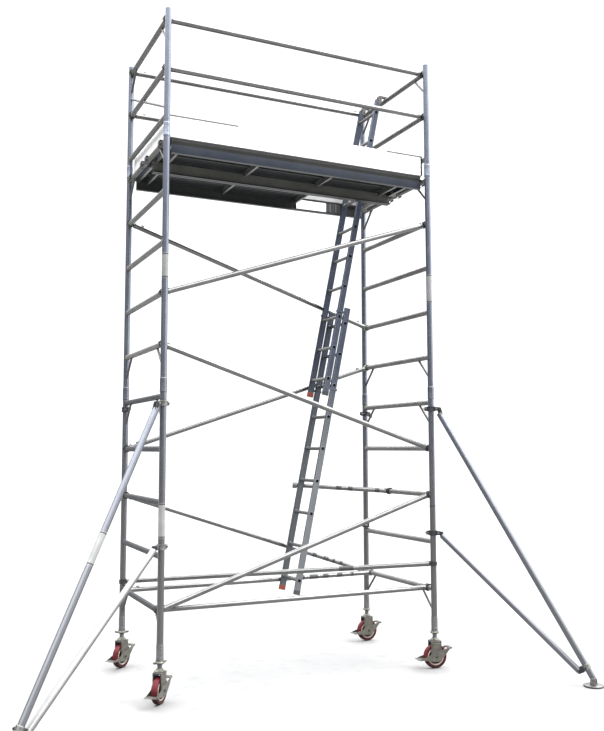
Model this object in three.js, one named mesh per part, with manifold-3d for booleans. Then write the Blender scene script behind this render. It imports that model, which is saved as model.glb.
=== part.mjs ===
import * as THREE from 'three';
import { mergeVertices } from 'three/addons/utils/BufferGeometryUtils.js';
import Module from 'manifold-3d';

const wasm = await Module();
wasm.setup();

// Driving dimensions, millimetres. X runs along the tower, Y from its front to its rear, Z up.
const LENGTH = 2410;
const WIDTH = 1174;
const UPRIGHT_R = 25.4;
const RUNG_R = 22;
const BRACE_R = 21;
const RUNG_PITCH = 400;
const FIRST_RUNG = 660;
const UPRIGHT_FOOT = 320;
const LOWER_JOINT = 2290;
const UPPER_JOINT = 4290;
const UPRIGHT_TOP = 5330;
const COLLAR_R = 28.5;
const COLLAR_LENGTH = 110;
const PIN_REACH = 31;
const PIN_R = 5;
const PIN_RISE = 85;
const SPIGOT_R = 20.5;
const SPIGOT_LENGTH = 150;
const SOCKET_R = 21.8;
const GUSSET_REACH = 185;
const GUSSET_R = 10;
const TIE_R = 11;
const TIE_FRONT_Z = 4523;
const TIE_REAR_Z = 5031;
const WELD_DEPTH = 5;
const OPEN_TOP_DEPTH = 50;
const GAP = 0.4;

const CLAW_WIDTH = 40;
const CLAW_INNER_R = 24.4;
const CLAW_STEPS = 7;
const CLAW_OUTER_R = 34;
const CLAW_HALF_MOUTH = 1.0;
const LEFT_MOUTH = -Math.PI * 0.72;
const RIGHT_MOUTH = -Math.PI * 0.28;
const FIRST_LANE = 47;
const SECOND_LANE = 89;
const PLAN_REAR_Z = 724;
const PLAN_FRONT_Z = 874;
const PLAN_GRIP_R = 28.2;
const STAY_COLLAR_R = 31;
const STAY_COLLAR = [878, 918];

const DECK_TOP = 4300;
const PLY = 11.6;
const BEAM_TOP = DECK_TOP - PLY - GAP;
const BEAM_BOTTOM = 4176;
const BEAM_WIDTH = 28;
const DECK_START = 50;
const DECK_END = LENGTH - 50;
const FRONT_DECK = [36, 583];
const REAR_DECK = [591, 1138];
const HATCH_X = [1620, 2300];
const HATCH_EDGE = 31;
const HINGE_X = HATCH_X[0] - 10;
const HINGE_Z = DECK_TOP + 8.5;
const HINGE_R = 7.5;
const LID_LENGTH = 672;
const LID_GRIP = { x: 630, posts: [170, 290], rise: 30, radius: 5 };
const HOOK_WIDTH = 46;
const HOOK_REACH = 96;
const HOOK_THICK = 9;
const HOOK_HEEL = 36;
const HOOK_INSET = 70;
const HOOK_TIP = 4236;
const CROSS_WIDTH = 24;
const CROSS_BOTTOM = 4236;
const END_BEAM = 30;
const END_BEAM_RISE = 72;
const FRONT_CROSSINGS = [140, 852, 1556, 2212];
const REAR_CROSSINGS = [140, 852, HATCH_X[0] - CROSS_WIDTH, HATCH_X[1]];

const TOE_BOTTOM = 4303;
const TOE_TOP = 4483;
const TOE_THICK = 18;
const TOE_INSET = 34;

const LEAN = THREE.MathUtils.degToRad(11.6);
const LADDER_FRONT = 715;
const LADDER_REAR = 1058;
const LADDER_PITCH = 298;
const STILE_DEPTH = 55;
const STILE_THICK = 25;
const LADDER_RUNG_R = 15;
const LADDER_BORE_R = 11;
const LOWER_FOOT_RUNG = [1470, 692];
const LOWER_RUNGS = 9;
const LOWER_TAILS = [124, 146];
const UPPER_FOOT_RUNG = [1769, 2506];
const UPPER_RUNGS = 10;
const UPPER_TAILS = [160, 130];
const LADDER_HOOK = [
  [2322, 5225], [2366, 5225], [2376, 5289], [2434, 5289],
  [2437, 5262], [2450, 5262], [2450, 5308], [2330, 5308],
];

const WHEEL_R = 100;
const WHEEL_WIDTH = 46;
const AXLE_R = 8;
const AXLE_HALF = 50;
const CHEEK_Y = 33;
const CHEEK_THICK = 5;
const ROCKER_Y = 41;
const ROCKER_THICK = 4;
const AXLE_BORE_R = 9.2;
const FORK_TOP = 232;
const CROWN = 8;
const SCREW_R = 19.5;
const SCREW_TOP = 690;
const LEG_BORE_R = 21.5;
const NUT_BORE_R = 20.8;
const CASTERS = {
  front_left: { x: 0, y: 0, turn: -130, nutTurn: 20 },
  rear_left: { x: 0, y: WIDTH, turn: -140, nutTurn: -15 },
  front_right: { x: LENGTH, y: 0, turn: 170, nutTurn: 35 },
  rear_right: { x: LENGTH, y: WIDTH, turn: 180, nutTurn: 60 },
};

const STABILISERS = { left: { x: 0, turn: -149 }, right: { x: LENGTH, turn: -52 } };
const STABILISER_R = 25;
const CLAMP_BORE_R = 27.6;
const CLAMP_R = 37;
const CLAMP_HEIGHT = 42;
const UPPER_CLAMP = 2204;
const LOWER_CLAMP = 1134;
const TUBE_SLOPE = 1.727;
const FOOT_REACH = 1300;
const FOOT_TUBE_END = 45;
const FOOT_PIN_Z = 58;
const FOOT_R = 78;
const FOOT_PIN_R = 6.3;
const PIN_HOLE_R = 7.2;
const EAR_Y = 31;
const KNOB_R = 11;
const KNOB_REACH = 68;
const LONG_TUBE_TOP = 2165;

const FINISH = {
  tube: { color: 0x9aa0ad, roughness: 0.42, metalness: 0.85 },
  brace: { color: 0xc4c7cc, roughness: 0.35, metalness: 0.85 },
  casting: { color: 0x303236, roughness: 0.6, metalness: 0.4 },
  deck: { color: 0x555b6b, roughness: 0.5, metalness: 0.7 },
  ply: { color: 0x2c2e2e, roughness: 0.85, metalness: 0 },
  board: { color: 0xe2e3e2, roughness: 0.6, metalness: 0 },
  stile: { color: 0x7d8698, roughness: 0.42, metalness: 0.8 },
  zinc: { color: 0x8f8f86, roughness: 0.45, metalness: 0.8 },
  tyre: { color: 0x9c2b36, roughness: 0.6, metalness: 0 },
  rubber: { color: 0x26262a, roughness: 0.85, metalness: 0 },
};

const UP = new THREE.Vector3(0, 1, 0);
const vec = (x, y, z) => new THREE.Vector3(x, y, z);
const rungHeight = (index) => FIRST_RUNG + RUNG_PITCH * index;

// Turns a closed three.js geometry into a solid that can be joined and cut.
function solid(geometry) {
  const bare = geometry.index ? geometry.toNonIndexed() : geometry;
  const plain = new THREE.BufferGeometry();
  plain.setAttribute('position', bare.getAttribute('position'));
  const merged = mergeVertices(plain, 1e-4);
  return new wasm.Manifold(new wasm.Mesh({
    numProp: 3,
    vertProperties: new Float32Array(merged.getAttribute('position').array),
    triVerts: new Uint32Array(merged.index.array),
  }));
}

function joined(list) {
  return list.reduce((whole, piece) => whole.add(piece));
}

function rod(from, to, radius, sides = 10) {
  const along = to.clone().sub(from);
  const geometry = new THREE.CylinderGeometry(radius, radius, along.length(), sides);
  geometry.applyQuaternion(new THREE.Quaternion().setFromUnitVectors(UP, along.clone().normalize()));
  const middle = from.clone().add(to).multiplyScalar(0.5);
  geometry.translate(middle.x, middle.y, middle.z);
  return solid(geometry);
}

function box(low, high) {
  const geometry = new THREE.BoxGeometry(high[0] - low[0], high[1] - low[1], high[2] - low[2]);
  geometry.translate((low[0] + high[0]) / 2, (low[1] + high[1]) / 2, (low[2] + high[2]) / 2);
  return solid(geometry);
}

function ring(from, to, outer, inner, sides = 12) {
  const along = to.clone().sub(from).normalize();
  const bore = rod(from.clone().sub(along), to.clone().add(along), inner, sides);
  return rod(from, to, outer, sides).subtract(bore);
}

// A profile of [radius, height] pairs turned about Z; it closes on itself or runs from axis to axis.
function turned(profile, segments) {
  const points = profile.map(([radius, height]) => new THREE.Vector2(radius, height));
  if (profile[0][0] > 0) {
    points.push(points[0].clone());
  }
  const geometry = new THREE.LatheGeometry(points, segments);
  geometry.rotateX(Math.PI / 2);
  return solid(geometry);
}

// A flat outline of [x, z] pairs, thickness along Y centred on the given y.
function plate(outline, y, thickness) {
  const shape = new THREE.Shape(outline.map(([x, z]) => new THREE.Vector2(x, z)));
  const geometry = new THREE.ExtrudeGeometry(shape, { depth: thickness, bevelEnabled: false });
  geometry.rotateX(Math.PI / 2);
  geometry.translate(0, y + thickness / 2, 0);
  return solid(geometry);
}

// A C that hooks over a round bar lying along Y; its mouth faces the given direction in the XZ plane.
function clawOutline(mouth) {
  const start = mouth + CLAW_HALF_MOUTH;
  const sweep = 2 * Math.PI - 2 * CLAW_HALF_MOUTH;
  const outline = [];
  for (let i = 0; i <= CLAW_STEPS; i += 1) {
    const angle = start + (i / CLAW_STEPS) * sweep;
    outline.push([CLAW_OUTER_R * Math.cos(angle), CLAW_OUTER_R * Math.sin(angle)]);
  }
  for (let i = CLAW_STEPS; i >= 0; i -= 1) {
    const angle = start + (i / CLAW_STEPS) * sweep;
    outline.push([CLAW_INNER_R * Math.cos(angle), CLAW_INNER_R * Math.sin(angle)]);
  }
  return outline;
}

function rungClaw(x, y, z, mouth) {
  return plate(clawOutline(mouth), 0, CLAW_WIDTH).translate([x, y, z]);
}

function uprightClaw(x, y, z, mouth, grow) {
  const scale = grow / CLAW_INNER_R;
  const claw = plate(clawOutline(mouth), 0, CLAW_WIDTH).rotate([90, 0, 0]);
  return claw.scale([scale, scale, 1]).translate([x, y, z]);
}

const nodes = [];

function add(name, body, finish) {
  nodes.push({ name, body, finish });
}

// A short diagonal from an upright up to the underside of a rung.
function gusset(x, z, uprightY, inward) {
  const low = vec(x, uprightY + inward * (WELD_DEPTH + 3), z - GUSSET_REACH);
  const high = vec(x, uprightY + inward * GUSSET_REACH, z - WELD_DEPTH - 1);
  return rod(low, high, GUSSET_R, 6);
}

// One welded end frame: two uprights, rungs between them and corner gussets under chosen rungs.
function endFrame({ x, bottom, top, rungs, gussets }) {
  const pieces = [];
  for (const y of [0, WIDTH]) {
    pieces.push(rod(vec(x, y, bottom), vec(x, y, top), UPRIGHT_R, 12));
  }
  for (const z of rungs) {
    pieces.push(rod(vec(x, WELD_DEPTH, z), vec(x, WIDTH - WELD_DEPTH, z), RUNG_R));
  }
  for (const z of gussets) {
    pieces.push(gusset(x, z, 0, 1), gusset(x, z, WIDTH, -1));
  }
  return joined(pieces);
}

function spigots(x, z) {
  return joined([0, WIDTH].map((y) => rod(vec(x, y, z - 10), vec(x, y, z + SPIGOT_LENGTH), SPIGOT_R)));
}

// Bell-ended sockets with a locking pin through each, at the bottom of a frame.
function withSockets(frame, x, z) {
  let whole = frame;
  for (const y of [0, WIDTH]) {
    whole = whole.add(rod(vec(x, y, z), vec(x, y, z + COLLAR_LENGTH), COLLAR_R, 12));
    const pinZ = z + PIN_RISE;
    whole = whole.add(rod(vec(x, y - PIN_REACH, pinZ), vec(x, y + PIN_REACH, pinZ), PIN_R, 6));
  }
  for (const y of [0, WIDTH]) {
    whole = whole.subtract(rod(vec(x, y, z - 5), vec(x, y, z + SPIGOT_LENGTH + 5), SOCKET_R));
  }
  return whole;
}

// Short sleeves thicken the feet of the base uprights, which are bored for the adjusting screws.
function withLegBores(frame, x) {
  let whole = frame;
  for (const y of [0, WIDTH]) {
    whole = whole.add(rod(vec(x, y, UPRIGHT_FOOT), vec(x, y, UPRIGHT_FOOT + COLLAR_LENGTH), COLLAR_R, 12));
    whole = whole.subtract(rod(vec(x, y, UPRIGHT_FOOT - 5), vec(x, y, SCREW_TOP + 20), LEG_BORE_R));
  }
  return whole;
}

function addFrames() {
  for (const [side, x] of [['left', 0], ['right', LENGTH]]) {
    const base = endFrame({
      x, bottom: UPRIGHT_FOOT, top: LOWER_JOINT, rungs: [0, 1, 2, 3, 4].map(rungHeight),
      gussets: [rungHeight(0), rungHeight(4)],
    });
    add(`base_frame_${side}`, withLegBores(base, x).add(spigots(x, LOWER_JOINT)), 'tube');
    const upper = endFrame({
      x, bottom: LOWER_JOINT + GAP, top: UPPER_JOINT, rungs: [5, 6, 7, 8, 9].map(rungHeight),
      gussets: [rungHeight(5), rungHeight(9)],
    });
    add(`upper_frame_${side}`, withSockets(upper, x, LOWER_JOINT + GAP).add(spigots(x, UPPER_JOINT)), 'tube');
    const guard = endFrame({
      x, bottom: UPPER_JOINT + GAP, top: UPRIGHT_TOP, rungs: [9.5, 10.5, 11.5].map(rungHeight),
      gussets: [rungHeight(11.5)],
    });
    const socketed = withSockets(guard, x, UPPER_JOINT + GAP);
    const whole = side === 'left' ? socketed.add(tieRod(x)) : socketed;
    add(`guard_frame_${side}`, withOpenTops(whole, x), 'tube');
  }
}

function tieRod(x) {
  return rod(vec(x, WELD_DEPTH, TIE_FRONT_Z), vec(x, WIDTH - WELD_DEPTH, TIE_REAR_Z), TIE_R, 8);
}

function withOpenTops(frame, x) {
  const low = UPRIGHT_TOP - OPEN_TOP_DEPTH;
  const tops = [0, WIDTH].map((y) => rod(vec(x, y, low), vec(x, y, UPRIGHT_TOP + 5), SOCKET_R));
  return frame.subtract(joined(tops));
}

// The room a rung needs through a claw.
function rungSpace(at) {
  return rod(vec(at.x, at.y - 200, at.z), vec(at.x, at.y + 200, at.z), CLAW_INNER_R);
}

// A brace with a claw at each end, gripping two rungs at one distance from the uprights.
function clawBrace(y, leftZ, rightZ) {
  const left = vec(0, y, leftZ);
  const right = vec(LENGTH, y, rightZ);
  const along = right.clone().sub(left).normalize();
  const slope = Math.atan2(along.z, along.x);
  const reach = (CLAW_INNER_R + CLAW_OUTER_R) / 2;
  const tube = rod(
    left.clone().addScaledVector(along, reach),
    right.clone().addScaledVector(along, -reach),
    BRACE_R,
  );
  const bores = [left, right].map((end) => rungSpace(end));
  const claws = [
    rungClaw(0, y, leftZ, slope + LEFT_MOUTH),
    rungClaw(LENGTH, y, rightZ, slope + RIGHT_MOUTH),
  ];
  return joined([tube.subtract(joined(bores)), ...claws]);
}

function addBraces() {
  const rear = (lane) => WIDTH - lane;
  const braces = [
    ['front_brace_lower', FIRST_LANE, 0, 2], ['front_brace_middle', FIRST_LANE, 5, 3],
    ['front_brace_upper', FIRST_LANE, 6, 8], ['rear_brace_lower', rear(FIRST_LANE), 2, 0],
    ['rear_brace_middle', rear(FIRST_LANE), 3, 5], ['rear_brace_upper', rear(FIRST_LANE), 8, 6],
    ['front_horizontal', SECOND_LANE, 0, 0], ['rear_horizontal', rear(SECOND_LANE), 0, 0],
    ['front_guard_rail_middle', FIRST_LANE, 10.5, 10.5], ['front_guard_rail_top', FIRST_LANE, 11.5, 11.5],
    ['rear_guard_rail_middle', rear(FIRST_LANE), 10.5, 10.5],
    ['rear_guard_rail_top', rear(FIRST_LANE), 11.5, 11.5],
  ];
  for (const [name, y, left, right] of braces) {
    add(name, clawBrace(y, rungHeight(left), rungHeight(right)), 'brace');
  }
}

// The plan brace crosses the base from corner to corner, hooked round two uprights.
function addPlanBrace() {
  const from = vec(0, WIDTH, PLAN_REAR_Z);
  const to = vec(LENGTH, 0, PLAN_FRONT_Z);
  const along = to.clone().sub(from).normalize();
  const heading = Math.atan2(along.y, along.x);
  const bores = [from, to].map((end) => rod(
    vec(end.x, end.y, end.z - 60),
    vec(end.x, end.y, end.z + 60),
    PLAN_GRIP_R,
  ));
  const tube = rod(
    from.clone().addScaledVector(along, PLAN_GRIP_R),
    to.clone().addScaledVector(along, -PLAN_GRIP_R),
    BRACE_R,
  );
  const claws = [
    uprightClaw(from.x, from.y, from.z, heading + Math.PI, PLAN_GRIP_R),
    uprightClaw(to.x, to.y, to.z, heading, PLAN_GRIP_R),
  ];
  add('plan_brace', joined([tube.subtract(joined(bores)), ...claws]), 'brace');
}

// A stay from the right frame's third rung to the ladder's rear stile.
function addLadderStay() {
  const from = vec(LENGTH, LADDER_FRONT, rungHeight(2));
  const to = vec(1604, 1136, 1517);
  const along = to.clone().sub(from).normalize();
  const tube = rod(from.clone().addScaledVector(along, CLAW_INNER_R + 1), to, BRACE_R);
  const claw = rungClaw(from.x, from.y, from.z, RIGHT_MOUTH);
  const alongStay = (distance) => from.clone().addScaledVector(along, distance);
  const [collarStart, collarEnd] = STAY_COLLAR.map(alongStay);
  const collar = rod(collarStart, collarEnd, STAY_COLLAR_R, 12);
  const jaw = box([1622, LADDER_REAR + GAP, 1480], [1668, LADDER_REAR + 34, 1540]);
  add('ladder_stay', joined([tube.subtract(rungSpace(from)), claw, collar, jaw]), 'brace');
}

// The hooks at one end of a deck, each a bent plate over the top rung.
function deckHooks(range, endX, outward) {
  const rungTop = rungHeight(9) + RUNG_R;
  const pieces = [];
  const far = endX + outward * HOOK_REACH;
  const heel = endX + outward * HOOK_HEEL;
  const outline = [
    [endX, BEAM_TOP - 2], [far, BEAM_TOP - 2], [far, HOOK_TIP], [far - outward * HOOK_THICK, HOOK_TIP],
    [far - outward * HOOK_THICK, rungTop + 1], [heel, rungTop + 1],
    [heel, HOOK_TIP + 6], [endX, HOOK_TIP + 6],
  ];
  for (const y of [range[0] + HOOK_INSET, range[1] - HOOK_INSET]) {
    pieces.push(plate(outward < 0 ? outline : outline.reverse(), y, HOOK_WIDTH));
  }
  return pieces;
}

function deckFrame(range, crossings) {
  const [front, rear] = range;
  const inside = [front + BEAM_WIDTH, rear - BEAM_WIDTH];
  const endBeamBottom = BEAM_BOTTOM + END_BEAM_RISE;
  const pieces = [
    box([DECK_START, front, BEAM_BOTTOM], [DECK_END, inside[0], BEAM_TOP]),
    box([DECK_START, inside[1], BEAM_BOTTOM], [DECK_END, rear, BEAM_TOP]),
    box([DECK_START + 1, front + 5, endBeamBottom], [DECK_START + END_BEAM, rear - 5, BEAM_TOP - 1]),
    box([DECK_END - END_BEAM, front + 5, endBeamBottom], [DECK_END - 1, rear - 5, BEAM_TOP - 1]),
    ...deckHooks(range, DECK_START + 10, -1),
    ...deckHooks(range, DECK_END - 10, 1),
  ];
  for (const x of crossings) {
    pieces.push(box([x, inside[0] - 2, CROSS_BOTTOM], [x + CROSS_WIDTH, inside[1] + 2, BEAM_TOP - 3]));
  }
  return joined(pieces);
}

function addDecks() {
  add('deck_frame_front', deckFrame(FRONT_DECK, FRONT_CROSSINGS), 'deck');
  add('deck_frame_rear', deckFrame(REAR_DECK, REAR_CROSSINGS), 'deck');
  const low = DECK_TOP - PLY;
  const boardX = [DECK_START - 4, DECK_END + 4];
  const front = box([boardX[0], FRONT_DECK[0] - 2, low], [boardX[1], FRONT_DECK[1], DECK_TOP]);
  add('deck_board_front', front, 'ply');
  const board = box([boardX[0], REAR_DECK[0], low], [boardX[1], REAR_DECK[1] + 2, DECK_TOP]);
  const opening = box([HATCH_X[0] - 4, REAR_DECK[0] + HATCH_EDGE, low - 5],
    [HATCH_X[1], REAR_DECK[1] - HATCH_EDGE, DECK_TOP + 5]);
  add('deck_board_rear', board.subtract(opening), 'ply');
}

// The hatch lid, folded right back on the boards, with its hinge barrel and a pull handle.
function addTrapdoor() {
  const y = [REAR_DECK[0] + HATCH_EDGE + 6, REAR_DECK[1] - HATCH_EDGE - 6];
  const lid = box([HINGE_X - LID_LENGTH, y[0], HINGE_Z - 5], [HINGE_X + 1, y[1], HINGE_Z + 6.5]);
  const barrel = rod(vec(HINGE_X, y[0] + 20, HINGE_Z), vec(HINGE_X, y[1] - 20, HINGE_Z), HINGE_R);
  const gripX = HINGE_X - LID_GRIP.x;
  const gripTop = HINGE_Z + LID_GRIP.rise;
  const posts = LID_GRIP.posts.map((offset) => rod(
    vec(gripX, y[0] + offset, HINGE_Z),
    vec(gripX, y[0] + offset, gripTop),
    LID_GRIP.radius,
    8,
  ));
  const bar = rod(
    vec(gripX, y[0] + LID_GRIP.posts[0] - 5, gripTop - 2),
    vec(gripX, y[0] + LID_GRIP.posts[1] + 5, gripTop - 2),
    LID_GRIP.radius,
    8,
  );
  add('trapdoor', joined([lid, barrel, ...posts, bar]), 'ply');
}

function addToeBoards() {
  const far = WIDTH - TOE_INSET;
  const right = LENGTH - TOE_INSET;
  const z = [TOE_BOTTOM, TOE_TOP];
  const inner = [TOE_INSET + TOE_THICK + 1, far - TOE_THICK - 1];
  const boards = {
    toe_board_front: [[TOE_INSET - 2, TOE_INSET], [right + 2, TOE_INSET + TOE_THICK]],
    toe_board_rear: [[TOE_INSET - 2, far - TOE_THICK], [right + 2, far]],
    toe_board_left: [[TOE_INSET, inner[0]], [TOE_INSET + TOE_THICK, inner[1]]],
    toe_board_right: [[right - TOE_THICK, inner[0]], [right, inner[1]]],
  };
  for (const [name, [low, high]] of Object.entries(boards)) {
    add(name, box([...low, z[0]], [...high, z[1]]), 'board');
  }
}

// A ladder section: two box stiles joined by hollow rungs whose ends are open in the stiles' sides.
function ladderSection(footRung, count, tails) {
  const foot = vec(footRung[0], 0, footRung[1]);
  const length = (count - 1) * LADDER_PITCH + tails[0] + tails[1];
  const place = (body) => body.rotate([0, THREE.MathUtils.radToDeg(LEAN), 0]).translate([foot.x, 0, foot.z]);
  const stile = (y) => box(
    [-STILE_DEPTH / 2, y, -tails[0]],
    [STILE_DEPTH / 2, y + STILE_THICK, length - tails[0]],
  );
  const rungs = [];
  const bores = [];
  for (let i = 0; i < count; i += 1) {
    const z = i * LADDER_PITCH;
    rungs.push(rod(vec(0, LADDER_FRONT + 2, z), vec(0, LADDER_REAR - 2, z), LADDER_RUNG_R, 8));
    bores.push(rod(vec(0, LADDER_FRONT - 5, z), vec(0, LADDER_REAR + 5, z), LADDER_BORE_R, 6));
  }
  const stiles = [stile(LADDER_FRONT), stile(LADDER_REAR - STILE_THICK)];
  return place(joined([...stiles, ...rungs]).subtract(joined(bores)));
}

function addLadder() {
  add('ladder_lower_section', ladderSection(LOWER_FOOT_RUNG, LOWER_RUNGS, LOWER_TAILS), 'stile');
  const upper = ladderSection(UPPER_FOOT_RUNG, UPPER_RUNGS, UPPER_TAILS);
  const hookY = [LADDER_FRONT + 1, LADDER_REAR - STILE_THICK + 1];
  const hooks = hookY.map((y) => plate(LADDER_HOOK, y + STILE_THICK / 2 - 1, STILE_THICK - 2));
  add('ladder_upper_section', joined([upper, ...hooks]), 'stile');
}

// The adjusting screw with the swivel head that carries a fork.
function casterLeg() {
  const screw = rod(vec(0, 0, FORK_TOP + 11), vec(0, 0, SCREW_TOP), SCREW_R);
  const head = turned([
    [0, FORK_TOP + 1], [40, FORK_TOP + 1], [40, FORK_TOP + 5], [27, FORK_TOP + 17], [0, FORK_TOP + 21],
  ], 12);
  return joined([screw, head]);
}

// The bell nut under an upright, with two lugs to turn it by.
function wingNut() {
  const bell = turned([[NUT_BORE_R, 286], [27, 286], [38, 296], [36, 304], [30, 318], [NUT_BORE_R, 318]], 12);
  const wings = [-1, 1].map((side) => plate(
    [[side * 28, 290], [side * 56, 293], [side * 60, 303], [side * 52, 309], [side * 28, 306]], 0, 11));
  return joined([bell, ...wings]);
}

// A pressed fork: two broad cheeks under a flat crown, holding the axle.
function fork() {
  const cheek = (y) => plate([
    [-48, FORK_TOP - 2], [-48, 110], [-38, 80], [-20, 64],
    [20, 64], [38, 80], [48, 110], [48, FORK_TOP - 2],
  ], y, CHEEK_THICK);
  const crown = box([-48, -CHEEK_Y - 4, FORK_TOP - CROWN], [48, CHEEK_Y + 4, FORK_TOP]);
  const axle = rod(vec(0, -AXLE_HALF, WHEEL_R), vec(0, AXLE_HALF, WHEEL_R), AXLE_R);
  return joined([crown, cheek(-CHEEK_Y), cheek(CHEEK_Y), axle]);
}

// A solid-tyred wheel turned about its axle.
function wheel() {
  const half = WHEEL_WIDTH / 2;
  const body = turned([
    [AXLE_BORE_R, -half - 5], [24, -half - 5], [26, -half + 6], [72, -half + 5], [90, -half],
    [WHEEL_R, -half + 8], [WHEEL_R, half - 8], [90, half], [72, half - 5], [26, half - 6],
    [24, half + 5], [AXLE_BORE_R, half + 5],
  ], 20);
  return body.rotate([90, 0, 0]).translate([0, 0, WHEEL_R]);
}

// A rocker on the axle: a broad pedal in front that locks the wheel and a small one behind that frees it.
function brakeRocker() {
  const hole = rod(vec(0, -60, WHEEL_R), vec(0, 60, WHEEL_R), AXLE_BORE_R);
  const arm = (y) => plate([
    [138, 78], [138, 90], [60, 112], [40, 140], [-40, 150],
    [-118, 172], [-124, 160], [-84, 116], [-30, 62], [20, 60],
  ], y, ROCKER_THICK);
  const pedal = box([112, -48, 76], [172, 48, 84]);
  const tip = box([-142, -ROCKER_Y, 156], [-112, ROCKER_Y, 174]);
  return joined([arm(-ROCKER_Y), arm(ROCKER_Y), pedal, tip]).subtract(hole);
}

function addCasters() {
  const place = (body, caster) => body.rotate([0, 0, caster.turn]).translate([caster.x, caster.y, 0]);
  for (const [corner, caster] of Object.entries(CASTERS)) {
    add(`caster_leg_${corner}`, place(casterLeg(), caster), 'zinc');
    add(`leg_nut_${corner}`, place(wingNut(), { ...caster, turn: caster.nutTurn }), 'zinc');
    add(`caster_fork_${corner}`, place(fork(), caster), 'zinc');
    add(`caster_wheel_${corner}`, place(wheel(), caster), 'tyre');
    add(`caster_brake_${corner}`, place(brakeRocker(), caster), 'zinc');
  }
}

// Along the stabiliser's long tube: its distance from the upright at a given height.
const tubeReach = (z) => FOOT_REACH - (z - FOOT_TUBE_END) / TUBE_SLOPE;
const tubeAt = (z) => vec(tubeReach(z), 0, z);

// A ring clamp round an upright.
function uprightClamp(z) {
  const half = CLAMP_HEIGHT / 2;
  return ring(vec(0, 0, z - half), vec(0, 0, z + half), CLAMP_R, CLAMP_BORE_R);
}

function clampBore(z) {
  return rod(vec(0, 0, z - 80), vec(0, 0, z + 80), CLAMP_BORE_R);
}

function clampKnob(z) {
  return rod(vec(-CLAMP_R + 6, 0, z), vec(-KNOB_REACH, 0, z), KNOB_R, 8);
}

// The long outer tube of a stabiliser with the clamp that holds its top to an upright.
function longTube() {
  const tube = rod(tubeAt(LONG_TUBE_TOP), tubeAt(FOOT_TUBE_END), STABILISER_R);
  const lug = plate([[30, 2189], [30, 2219], [70, 2219], [100, 2160], [80, 2130]], 0, 30);
  const clamp = [uprightClamp(UPPER_CLAMP), clampKnob(UPPER_CLAMP)];
  const pinX = tubeReach(FOOT_PIN_Z);
  const pinHole = rod(vec(pinX, -40, FOOT_PIN_Z), vec(pinX, 40, FOOT_PIN_Z), PIN_HOLE_R);
  return joined([...clamp, tube, lug.subtract(clampBore(UPPER_CLAMP))]).subtract(pinHole);
}

// The lower strut, from its clamp on the upright to the slider round the long tube.
function strut() {
  const start = vec(78, 0, 1118);
  const end = vec(1182, 0, 110);
  const tube = rod(start, end, STABILISER_R);
  const lug = plate([[30, 1119], [30, 1149], [70, 1149], [108, 1102], [90, 1082]], 0, 30);
  const clamp = [uprightClamp(LOWER_CLAMP), clampKnob(LOWER_CLAMP)];
  const slider = ring(tubeAt(176), tubeAt(112), 36, CLAMP_BORE_R);
  const bridge = plate([[1160, 118], [1178, 84], [1236, 104], [1222, 150]], 0, 28);
  const tubeSpace = rod(tubeAt(400), tubeAt(60), CLAMP_BORE_R);
  const body = joined([...clamp, tube, lug.subtract(clampBore(LOWER_CLAMP)), bridge]);
  return joined([body.subtract(tubeSpace), slider]);
}

// A round foot plate with two ears that hold the tube's pin.
function stabiliserFoot() {
  const reach = tubeReach(FOOT_PIN_Z);
  const disc = turned([[0, 0], [FOOT_R - 4, 0], [FOOT_R, 4], [FOOT_R, 13], [0, 21]], 20);
  const ear = (y) => plate([[-20, 14], [20, 14], [20, 56], [10, 70], [-10, 70], [-20, 56]], y, 5);
  const pin = rod(vec(0, -EAR_Y - 7, FOOT_PIN_Z), vec(0, EAR_Y + 7, FOOT_PIN_Z), FOOT_PIN_R);
  return joined([disc, ear(-EAR_Y), ear(EAR_Y), pin]).translate([reach, 0, 0]);
}

function addStabilisers() {
  for (const [side, { x, turn }] of Object.entries(STABILISERS)) {
    const set = (body) => body.rotate([0, 0, turn]).translate([x, 0, 0]);
    add(`stabiliser_tube_${side}`, set(longTube()), 'brace');
    add(`stabiliser_strut_${side}`, set(strut()), 'brace');
    add(`stabiliser_foot_${side}`, set(stabiliserFoot()), 'rubber');
  }
}

// Couplers left on the rear uprights, ready for the rear pair of stabilisers.
function addRearCouplers() {
  const coupler = (stub) => joined([
    uprightClamp(0),
    clampKnob(0),
    rod(vec(30, 0, 0), vec(52 + stub, 0, -stub), 17).subtract(clampBore(0)),
  ]);
  const places = {
    rear_coupler_left: [0, UPPER_CLAMP, 92, 5],
    rear_coupler_right_upper: [LENGTH, UPPER_CLAMP, 10, 40],
    rear_coupler_right_lower: [LENGTH, LOWER_CLAMP - 24, 40, 10],
  };
  for (const [name, [x, z, turn, stub]] of Object.entries(places)) {
    add(name, coupler(stub).rotate([0, 0, turn]).translate([x, WIDTH, z]), 'casting');
  }
}

function meshOf({ name, body, finish }) {
  const data = body.getMesh();
  const geometry = new THREE.BufferGeometry();
  geometry.setAttribute('position', new THREE.BufferAttribute(new Float32Array(data.vertProperties), 3));
  geometry.setIndex(new THREE.BufferAttribute(new Uint32Array(data.triVerts), 1));
  const material = new THREE.MeshStandardMaterial({ ...FINISH[finish], flatShading: true });
  const mesh = new THREE.Mesh(geometry, material);
  mesh.name = name;
  return mesh;
}

// Moves everything so that the origin is the middle of the floor area the tower takes up.
function centred(meshes) {
  const whole = new THREE.Box3();
  for (const mesh of meshes) {
    whole.union(new THREE.Box3().setFromBufferAttribute(mesh.geometry.getAttribute('position')));
  }
  const centre = whole.getCenter(vec(0, 0, 0));
  for (const mesh of meshes) {
    mesh.geometry.translate(-centre.x, -centre.y, -whole.min.z);
    mesh.geometry.computeVertexNormals();
  }
  return meshes;
}

addFrames();
addBraces();
addPlanBrace();
addLadderStay();
addDecks();
addTrapdoor();
addToeBoards();
addLadder();
addCasters();
addStabilisers();
addRearCouplers();

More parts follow.
